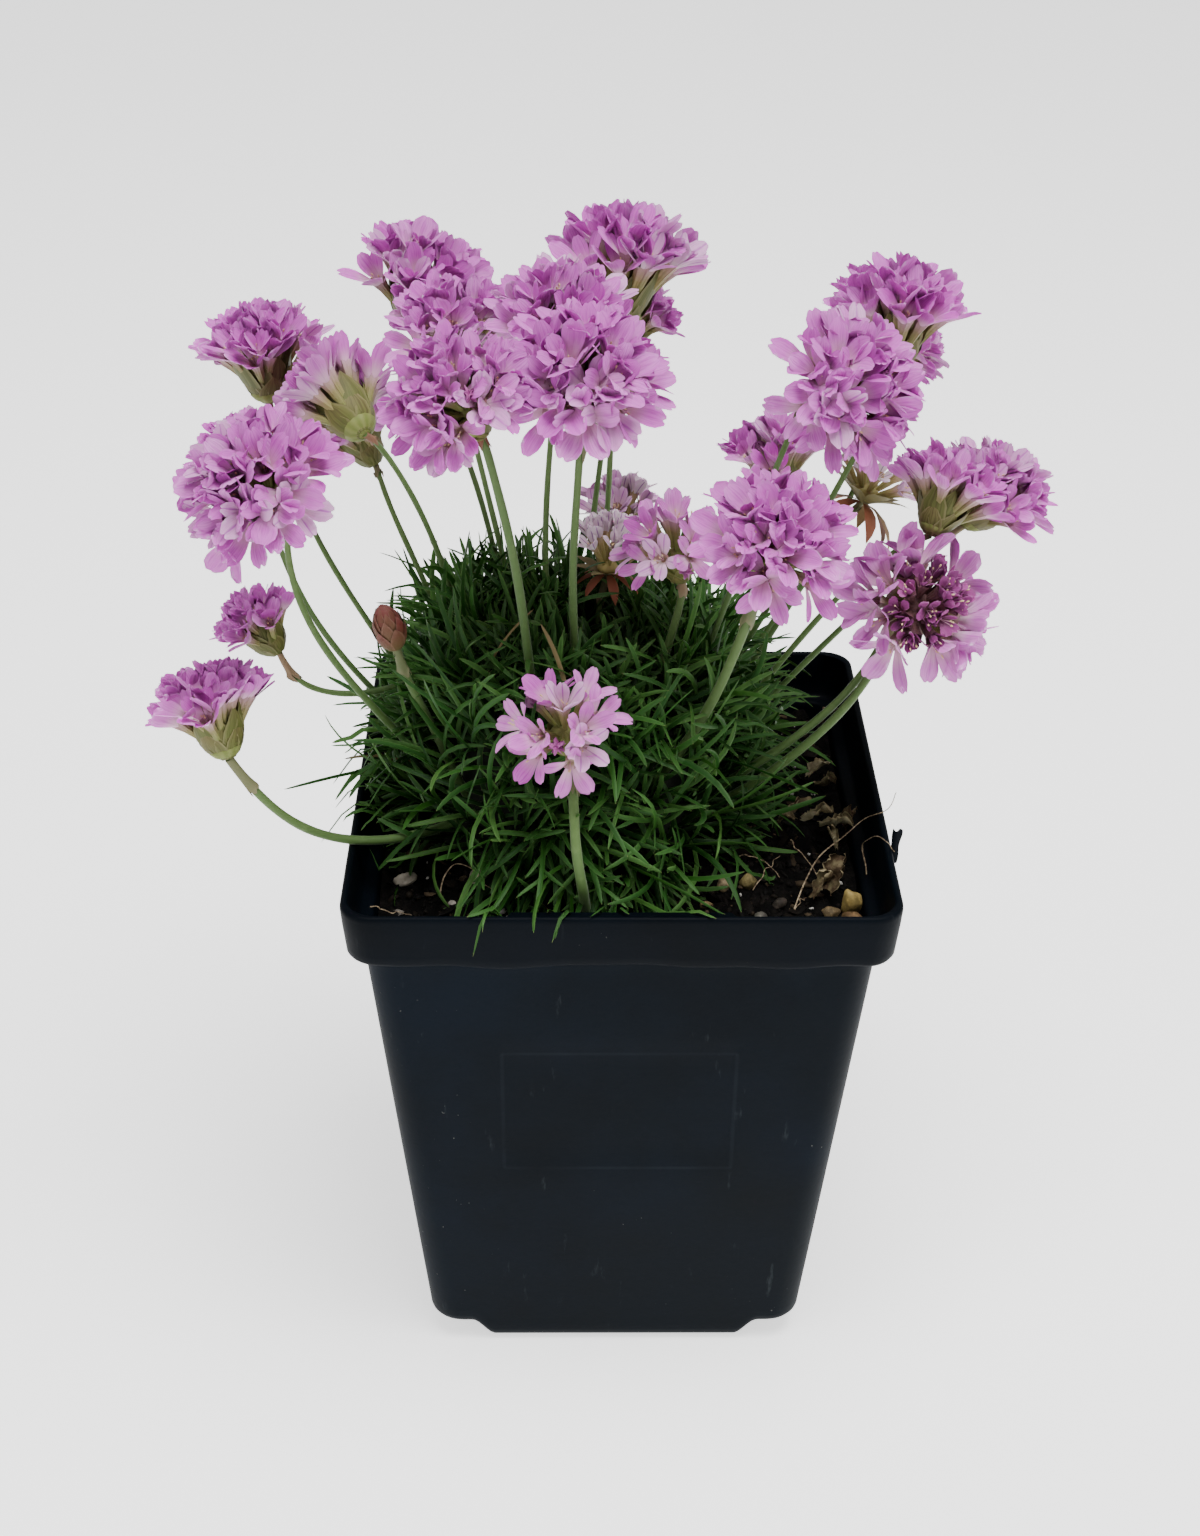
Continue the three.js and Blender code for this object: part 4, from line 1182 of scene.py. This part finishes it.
def petal_sheets(length, width, start, spread, cup, twist, throat, notch, ripple, turn, phase):
    """Petals as thin sheets in the floret's own frame, its axis up. The midline leaves the
    throat at one angle from the axis and bends to another, and is the running sum of that
    direction. The half width is a narrow claw that swells to a blade, rounded and notched at
    its end. Each sheet is cupped by the square of the distance from its midline, twisted
    along it, and rippled towards its edge and end. All arguments have one entry a petal."""
    s, t = sheet_grid(PETAL_ROWS, PETAL_COLUMNS)
    angle = each(start) + (each(spread) - each(start)) * s ** 0.8
    step = each(length) / (PETAL_ROWS - 1)
    radial = running(np.sin(angle) * step, each(throat))
    rise = running(np.cos(angle) * step)
    swell = 0.26 + 0.74 * smooth_step(0.0, 0.72, s)
    round_end = np.sqrt(np.clip(1 - (np.clip(s - 0.64, 0, 1) / 0.385) ** 3, 0.0, 1))
    half = each(width) / 2 * swell * round_end
    set_back = each(notch) * each(length) * smooth_step(0.72, 1, s) * np.exp(-((t / 0.4) ** 2))
    set_back = set_back - 0.04 * each(length) * smooth_step(0.8, 1, s) * (1 - t * t)
    radial = radial - set_back * np.sin(angle)
    rise = rise - set_back * np.cos(angle)
    wave = np.sin(3.2 * t + 7 * s + each(phase)) * s * s + 0.6 * np.sin(7 * t + 2 * each(phase)) * s ** 4
    height = each(cup) * half * t * t + each(twist) * half * t * s + each(ripple) * each(width) * wave
    thin = 0.1 * (1 - t * t) * np.sin(np.pi * s) ** 0.5
    layers = []
    for lift in (height, height - thin):
        place = about_axis(radial - np.cos(angle) * lift, half * t, each(turn))
        layers.append(stacked(*place, rise + np.sin(angle) * lift))
    grow = stacked(s, (t + 1) / 2, 0 * layers[0][..., 0])
    return sheet_points(*layers), sheet_points(grow, grow)


def turned_shapes(section, sides, length, radius, pleat):
    """Shapes turned about the z axis: a section of (share of length, share of radius), its
    radius going in and out from side to side by the pleat. One entry a shape."""
    up, out = np.array(section, float).T
    angle = turns(sides)
    ribs = 1 + pleat * np.where(np.arange(sides) % 2, 1, -1) * up[None, :, None]
    r = each(radius) * out[None, :, None] * ribs
    z = each(length) * up[None, :, None] + 0 * r
    points = stacked(r * np.cos(angle), r * np.sin(angle), z)
    grow = stacked(up[None, :, None], angle / (2 * np.pi), 0 * r)
    return points.reshape(len(points), -1, 3), grow.reshape(len(points), -1, 3)


def bract_sheets(local, neck, radius, layer, count, reach, broad, leaves, ends):
    """Bracts as thin pointed sheets in the head's frame, its axis up and its middle at 0.
    Each leaves the neck at one angle from the axis and bends evenly to another. Its half
    width is a sine of its length, and it wraps round the axis."""
    rows, columns = 6, 5
    s, t = sheet_grid(rows, columns)
    turn = each(turns(count, layer * 0.5) + local.uniform(-0.25, 0.25, count))
    length = each(radius * reach * local.uniform(0.85, 1.15, count))
    angle = np.radians(leaves + (ends - leaves) * s + each(local.uniform(-7, 7, count)) * s)
    step = length / (rows - 1)
    out = running(np.sin(angle) * step, 1.0 + 0.1 * layer)
    rise = running(np.cos(angle) * step)
    width = (0.3 + broad * radius * np.sin(np.pi * np.clip(s * 0.85 + 0.05, 0, 1))) * (1 - s ** 5)
    x = width * t + 0 * length
    curl = np.sqrt(np.maximum(out ** 2 - 0.8 * x ** 2, 0.15))
    layers = []
    for inset in (0.0, 0.1):
        inward = inset * (1 - t * t) * np.sin(np.pi * s)
        place = about_axis(curl - inward * np.cos(angle), x, turn)
        layers.append(stacked(*place, rise - neck + 0.05 + inward * np.sin(angle) + 0 * x))
    grow = stacked(s, (t + 1) / 2, each(0.5 * layer + local.uniform(0, 0.5, count)))
    return sheet_points(*layers), sheet_points(grow, grow), sheet_faces(rows, columns)[:, ::-1]


petal = Finish("lilac_petal")
grow_vector, petal_along, petal_side, petal_own = petal.attribute("grow")
_, petal_bud, petal_fade, petal_shade = petal.attribute("age")
vein = petal.noise(1.0, 2.0, 0.5, petal.stretched(grow_vector, 2.2, 17.0, 61.0))
cloud = petal.noise(500.0, 2.0, 0.5)
midline = 1 - abs(petal_side - 0.5).between(0.0, 0.1)
rim = abs(petal_side - 0.5).between(0.25, 0.5)
lilac = petal.ramp(
    petal_own * 0.7 + cloud * 0.35, (0.0, (0.45, 0.070, 0.40)), (0.35, (0.53, 0.105, 0.48)),
    (0.7, (0.60, 0.160, 0.55)), (1.0, (0.72, 0.29, 0.68)),
)
petal_colour = petal.coats(
    lilac,
    (vein.between(0.42, 0.7) * 0.6, (0.36, 0.040, 0.34)),
    (rim * petal_along.between(0.15, 0.5) * 0.45, (0.46, 0.050, 0.42)),
    (midline * petal_along.between(0.95, 0.3) * 0.35, (0.36, 0.03, 0.28)),
    (petal_along.between(0.7, 0.2) * (1 - 0.4 * rim) * 0.85, (0.68, 0.48, 0.54)),
    (petal_along.between(0.24, 0.0), petal.mix(petal_own, (0.25, 0.10, 0.06), (0.36, 0.36, 0.13))),
    (petal_shade * 0.1, (0.45, 0.08, 0.38)),
    (petal_bud * 0.85, petal.mix(petal_own, (0.075, 0.012, 0.045), (0.34, 0.07, 0.24))),
    (petal_fade * 0.85, petal.mix(midline, (0.70, 0.64, 0.64), (0.22, 0.11, 0.30))),
)
petal_finish = petal.surface(
    petal_colour, 0.55 + 0.2 * vein, vein, strength=0.3, depth=0.00015,
    Subsurface_Weight=0.6, Subsurface_Radius=(0.0018, 0.0011, 0.0018), Specular_IOR_Level=0.2,
)
cup = Finish("papery_calyx")
_, cup_along, cup_round, _ = cup.attribute("grow")
_, cup_bud, cup_fade, _ = cup.attribute("age")
cup_noise = cup.noise(2200.0, 2.0)
ribs = (cup_round * (2 * math.pi * CALYX_SIDES)).sine() * 0.5 + 0.5
calyx_green = cup.ramp(
    cup_along * 0.9 + cup_noise * 0.12, (0.0, (0.12, 0.15, 0.030)), (0.45, (0.15, 0.18, 0.045)),
    (0.72, (0.22, 0.18, 0.08)), (1.0, (0.46, 0.26, 0.33)),
)
calyx_colour = cup.coats(
    calyx_green,
    (ribs * cup_along.between(1.0, 0.5) * 0.4, (0.25, 0.26, 0.09)),
    (cup_fade * 0.6, (0.40, 0.30, 0.12)),
    (cup_bud * 0.85, cup.mix(cup_noise, (0.03, 0.006, 0.012), (0.20, 0.06, 0.10))),
)
calyx_finish = cup.surface(
    calyx_colour, 0.65, cup_noise + ribs, strength=0.4, depth=0.00015, Subsurface_Weight=0.15,
    Subsurface_Radius=(0.001, 0.0008, 0.0004), Specular_IOR_Level=0.25,
)
scale = Finish("olive_bract")
scale_vector, scale_along, scale_side, scale_own = scale.attribute("grow")
_, _, scale_fade, _ = scale.attribute("age")
scale_noise = scale.noise(1300.0, 3.0)
streaks = scale.noise(1.0, 2.0, 0.5, scale.stretched(scale_vector, 1.5, 14.0, 40.0))
olive = scale.ramp(
    scale_along * 0.5 + scale_own * 0.35 + scale_noise * 0.2, (0.0, (0.086, 0.106, 0.021)),
    (0.5, (0.080, 0.094, 0.019)), (0.8, (0.125, 0.105, 0.034)), (1.0, (0.175, 0.103, 0.05)),
)
rust = scale.mix(scale_own.between(0.35, 0.7), (0.22, 0.19, 0.085), (0.24, 0.07, 0.04))
bract_colour = scale.coats(
    olive,
    (streaks.between(0.45, 0.7) * 0.45, (0.14, 0.145, 0.045)),
    (streaks.between(0.55, 0.3) * 0.6, (0.055, 0.045, 0.016)),
    (abs(scale_side - 0.5).between(0.36, 0.5) * 0.35, (0.28, 0.25, 0.12)),
    (scale_fade.between(0.5, 0.8) * 0.85, rust),
)
bract_finish = scale.surface(
    bract_colour, 0.6, scale_noise, strength=0.4, depth=0.0001, Specular_IOR_Level=0.25)
dust_bag = Finish("cream_stamen")
_, stamen_along, _, _ = dust_bag.attribute("grow")
stamen_noise = dust_bag.noise(3000.0, 2.0)
stamen_colour = dust_bag.mix(stamen_along.between(0.75, 0.85), (0.62, 0.36, 0.46), (0.66, 0.50, 0.26))
stamen_finish = dust_bag.surface(stamen_colour, 0.6, stamen_noise, strength=0.2)
HEAD_FINISHES = [petal_finish, calyx_finish, bract_finish, stamen_finish]
PETAL, CALYX, BRACT, STAMEN = range(4)
PETAL_FACES = sheet_faces(PETAL_ROWS, PETAL_COLUMNS)
PETAL_POINTS = PETAL_ROWS * PETAL_COLUMNS + (PETAL_ROWS - 2) * (PETAL_COLUMNS - 2)
UNDERSIDE = (np.arange(PETAL_POINTS) >= PETAL_ROWS * PETAL_COLUMNS).astype(float)


class Parts:
    """Collects the points, faces and attributes of one piece, part after part."""

    def __init__(self):
        self.points, self.faces, self.grow, self.age, self.index = [], [], [], [], []
        self.total = 0

    def add(self, points, faces, grow, age, finish):
        for part in faces:
            self.faces.append(part + self.total)
            self.index.append(np.full(len(part), finish))
        self.points.append(points.reshape(-1, 3))
        self.grow.append(grow.reshape(-1, 3))
        self.age.append(np.broadcast_to(age, points.shape).reshape(-1, 3))
        self.total += points.size // 3

    def piece(self, name, slot, axis, centre, finishes):
        """The piece, stood on its axis with its middle at the centre."""
        upright = Vector((0, 0, 1)).rotation_difference(Vector(axis).normalized())
        points = np.concatenate(self.points) @ np.array(upright.to_matrix()).T + np.array(centre)
        attributes = {"grow": np.concatenate(self.grow), "age": np.concatenate(self.age)}
        index = np.concatenate(self.index)
        return make_piece(name, points, self.faces, finishes, attributes, index)


def flower_head(name, form, centre, radius, axis, seed):
    """One head: florets spread by the golden angle over a cap about its axis, each with a
    calyx, five petals and some stamens, round a small core and over two layers of bracts. A
    calyx's length falls from the middle of the head to its edge, by the square of its share
    of the way."""
    facts = dict(zip(FORM_FACTS, FORMS[form]))
    local = np.random.default_rng(seed)
    count = round(facts["count"] * min(1, radius / 10 + 0.1))
    widest = math.radians(facts["widest"])
    direction = unit(golden_directions(count, 1.0, math.cos(widest)) + local.normal(0, 0.09, (count, 3)))
    share = np.arccos(np.clip(direction[:, 2], -1, 1)) / widest
    closed = local.uniform(size=count) < facts["closed"]
    wilted = (form == "ring") & (share < 0.76)
    if form == "in_bud":
        closed = direction @ unit(np.array([0.3, -0.9, -0.1])) > 0.3
    own = local.uniform(0, 1, count)
    fade = facts["fade"] + local.uniform(-0.08, 0.12, count) + 0.35 * (local.uniform(size=count) < 0.1)
    fade = np.clip(fade, 0, 1)
    if form == "ring":
        fade = np.where(wilted, 0, 0.15)
    reach = facts["middle"] + (facts["outermost"] - facts["middle"]) * np.clip(share, 0, 1) ** 2
    reach = radius * reach * local.uniform(0.92, 1.08, count)
    neck = neck_depth(radius)
    seat = radius * (direction * 0.06 - [0, 0, facts["seat"]])
    turn = frames_along(direction, local.uniform(0, 2 * np.pi, count))
    to_head = lambda shapes, floret: np.einsum("nij,nkj->nki", turn[floret], shapes) + seat[floret][:, None]
    parts = Parts()

    every = np.arange(count)
    mouth = np.where(closed, 0.085, 0.115) * radius
    calyx, grow = turned_shapes(CALYX_SECTION, CALYX_SIDES, reach, mouth, 0.14)
    age = stacked(wilted, fade, own)[:, None]
    faces = tube_copies(len(CALYX_SECTION), CALYX_SIDES, count)
    parts.add(to_head(calyx, every), faces, grow, age, CALYX)
    tall = neck + (0.3 - facts["seat"]) * radius
    thick = (0.4 if form == "ring" else 0.29) * radius
    core, grow = turned_shapes(CORE_SECTION, CORE_SIDES, [tall], [thick], 0.0)
    core[..., 2] -= neck
    age = np.array([float(form == "ring"), facts["fade"], 0.5])
    faces = tube_copies(len(CORE_SECTION), CORE_SIDES, 1)
    parts.add(core, faces, grow * [0.5, 1, 1], age, CALYX)

    petals = PETALS * count
    floret = np.repeat(every, PETALS)
    bud = closed[floret]
    shrunk = wilted[floret]
    around = np.tile(turns(PETALS), count) + local.uniform(-0.2, 0.2, petals)
    part_way = np.clip(share[floret], 0, 1)
    # The petals on a floret's outer side are longer than those on its inner side.
    out_x, out_y = ((direction[:, :2] * turn[:, :2, k]).sum(1)[floret] for k in range(2))
    away = out_x * np.cos(around) + out_y * np.sin(around)
    size = radius * facts["petal"] * local.uniform(0.86, 1.14, petals) * (1 + 0.1 * away)
    size = size * np.where(shrunk, 0.42, 1)
    tip = facts["spread"] + (facts["edge"] - facts["spread"]) * part_way ** 1.5
    tip = tip + local.uniform(-12, 12, petals)
    tip = np.where(shrunk, local.uniform(-15, 60, petals), tip)
    sheets, grow = petal_sheets(
        np.where(bud, size * 0.5, size),
        np.where(bud, 0.22 * radius, size * local.uniform(0.38, 0.52, petals)),
        np.radians(np.where(bud, 16, 17 + 8 * part_way + local.uniform(-7, 7, petals))),
        np.radians(np.where(bud, -30, tip)),
        np.where(bud, 1.0, local.uniform(-0.1, 0.4, petals)),
        np.where(bud, 0.0, local.uniform(-0.35, 0.35, petals) * np.where(shrunk, 4, 1)),
        np.full(petals, 0.03 * radius),
        np.where(bud, 0.0, local.uniform(0.02, 0.12, petals)),
        np.where(bud, 0.0, local.uniform(0.01, 0.05, petals)),
        around,
        local.uniform(0, 2 * np.pi, petals),
    )
    sheets[..., 2] += (reach[floret] * PETAL_SEAT)[:, None]
    grow[..., 2] = np.clip(own[floret] * 0.6 + local.uniform(0, 0.4, petals), 0, 1)[:, None]
    age = stacked((bud | shrunk)[:, None], fade[floret][:, None], UNDERSIDE)
    parts.add(to_head(sheets, floret), [copies(PETAL_FACES, PETAL_POINTS, petals)], grow, age, PETAL)

    floret = np.repeat(every[~closed], STAMENS)
    stamens = len(floret)
    length = radius * local.uniform(0.2, 0.34, stamens)
    threads, grow = turned_shapes(STAMEN_SECTION, STAMEN_SIDES, length, np.full(stamens, 0.15), 0.0)
    threads[..., :2] += local.uniform(-0.3, 0.3, (stamens, 1, 2)) * threads[..., 2:]
    threads[..., 2] += (reach[floret] * PETAL_SEAT)[:, None]
    faces = tube_copies(len(STAMEN_SECTION), STAMEN_SIDES, stamens)
    parts.add(to_head(threads, floret), faces, grow, np.zeros(3), STAMEN)

    for layer, shape in enumerate(DEAD_BRACTS if form in ("dry", "spent") else CUP_BRACTS):
        number, reach, broad, leaves, ends = shape
        reach, broad = reach * facts["cup"], broad * facts["cup"]
        bracts, grow, faces = bract_sheets(local, neck, radius, layer, number, reach, broad, leaves, ends)
        age = np.array([0.0, facts["fade"], 0.5])
        parts.add(bracts, [copies(faces, bracts.shape[1], number)], grow, age, BRACT)
    slot = "faded_bloom" if form in ("faded", "dry", "spent") else "bloom"
    return parts.piece(name, slot, axis, centre, HEAD_FINISHES)


bud_scale = Finish("red_brown_bud_scale")
_, bud_along, bud_side, bud_own = bud_scale.attribute("grow")
bud_noise = bud_scale.noise(1300.0, 3.0)
red_brown = bud_scale.ramp(
    bud_along * 0.75 + bud_noise * 0.25, (0.0, (0.07, 0.075, 0.02)), (0.4, (0.10, 0.045, 0.02)),
    (0.7, (0.11, 0.024, 0.018)), (1.0, (0.20, 0.07, 0.06)),
)
bud_colour = bud_scale.coats(
    red_brown,
    (bud_own.between(0.3, 0.8) * 0.4, (0.10, 0.075, 0.03)),
    (abs(bud_side - 0.5).between(0.3, 0.5) * 0.35, (0.22, 0.12, 0.085)),
)
bud_finish = bud_scale.surface(
    bud_colour, 0.6, bud_noise, strength=0.4, depth=0.0001, Specular_IOR_Level=0.25)
# One row a layer of scales: their number, and the levels where they start and end.
BUD_LAYERS = ((6, -1.36, 0.35), (6, -1.15, 0.95), (5, -0.7, 1.35), (5, -0.4, 1.6))


def closed_bud(name, centre, radius, axis, seed):
    """A head still in bud: overlapping red-brown scales in four layers on an egg, whose
    radius at a level is that of an ellipse. Levels are in radii from the egg's middle."""
    local = np.random.default_rng(seed)
    parts = Parts()
    rows, columns = 7, 5
    s, t = sheet_grid(rows, columns)
    for layer, (number, low, high) in enumerate(BUD_LAYERS):
        turn = each(turns(number, layer * 0.5))
        level = low + (high - low) * s
        egg = np.sqrt(np.clip(1 - ((level - 0.05) / 1.62) ** 2, 0.03, 1))
        egg = egg * (1.02 - 0.07 * layer) + 0.04 * s ** 3
        x = radius * (0.56 * egg * (1 - s ** 3) + 0.02) * t + 0 * turn
        sides = []
        for inset in (0.0, 0.06):
            out = radius * egg - inset * (1 - t * t) * np.sin(np.pi * s)
            place = about_axis(np.sqrt(np.maximum(out ** 2 - x ** 2, 0.01)), x, turn)
            sides.append(stacked(*place, radius * level + 0 * x))
        grow = stacked(s, (t + 1) / 2, each(local.uniform(0, 1, number)))
        points = sheet_points(*sides)
        faces = [copies(sheet_faces(rows, columns)[:, ::-1], points.shape[1], number)]
        parts.add(points, faces, sheet_points(grow, grow), np.zeros(3), 0)
    heart, grow = turned_shapes(CORE_SECTION, CORE_SIDES, [2.9 * radius], [0.82 * radius], 0.0)
    heart[..., 2] -= 1.25 * radius
    parts.add(heart, tube_copies(len(CORE_SECTION), CORE_SIDES, 1), grow, np.zeros(3), 0)
    return parts.piece(name, "closed_bud", axis, centre, [bud_finish])


for number, (name, (form, centre, radius, axis, _, _)) in enumerate(FLOWERS.items()):
    if form == "closed":
        piece = closed_bud("head_" + name, centre, radius, axis, HEAD_SEED + number)
    else:
        piece = flower_head("head_" + name, form, centre, radius, axis, HEAD_SEED + number)
    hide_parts("bloom_" + name)


# Floor and light: a plain pale floor under a soft white sky, and three large soft lamps.
FLOOR_HALF = 3.0
floor = bpy.data.objects.new("floor", bpy.data.meshes.new("floor"))
corners = [(x * FLOOR_HALF, y * FLOOR_HALF, 0) for x, y in ((-1, -1), (1, -1), (1, 1), (-1, 1))]
floor.data.from_pydata(corners, [], [(0, 1, 2, 3)])
link(floor)
pale = Finish("pale_floor")
floor_grain = pale.noise(300.0)
floor.data.materials.append(pale.surface(
    (0.95, 0.95, 0.95), 0.9, floor_grain, strength=0.02, Specular_IOR_Level=0.1,
    Emission_Color=(1, 1, 1), Emission_Strength=1.2,
))

sky = bpy.data.worlds.new("soft_white")
sky.use_nodes = True
sky.node_tree.nodes["Background"].inputs["Color"].default_value = (1.0, 1.0, 1.0, 1)
sky.node_tree.nodes["Background"].inputs["Strength"].default_value = 0.45
bpy.context.scene.world = sky


def soft_lamp(name, place, target, size, watts):
    """A square area lamp at a place, turned to face a target."""
    data = bpy.data.lights.new(name, "AREA")
    data.size = size
    data.energy = watts
    lamp = bpy.data.objects.new(name, data)
    lamp.location = place
    lamp.rotation_euler = (Vector(target) - Vector(place)).to_track_quat("-Z", "Y").to_euler()
    link(lamp)


soft_lamp("lamp_above", (0.1, -0.15, 0.95), (0, 0, 0.1), 0.5, 12)
soft_lamp("lamp_left", (-0.8, -0.5, 0.6), (0, 0, 0.12), 0.6, 3)
soft_lamp("lamp_right", (0.8, -0.4, 0.5), (0, 0, 0.12), 0.6, 3)
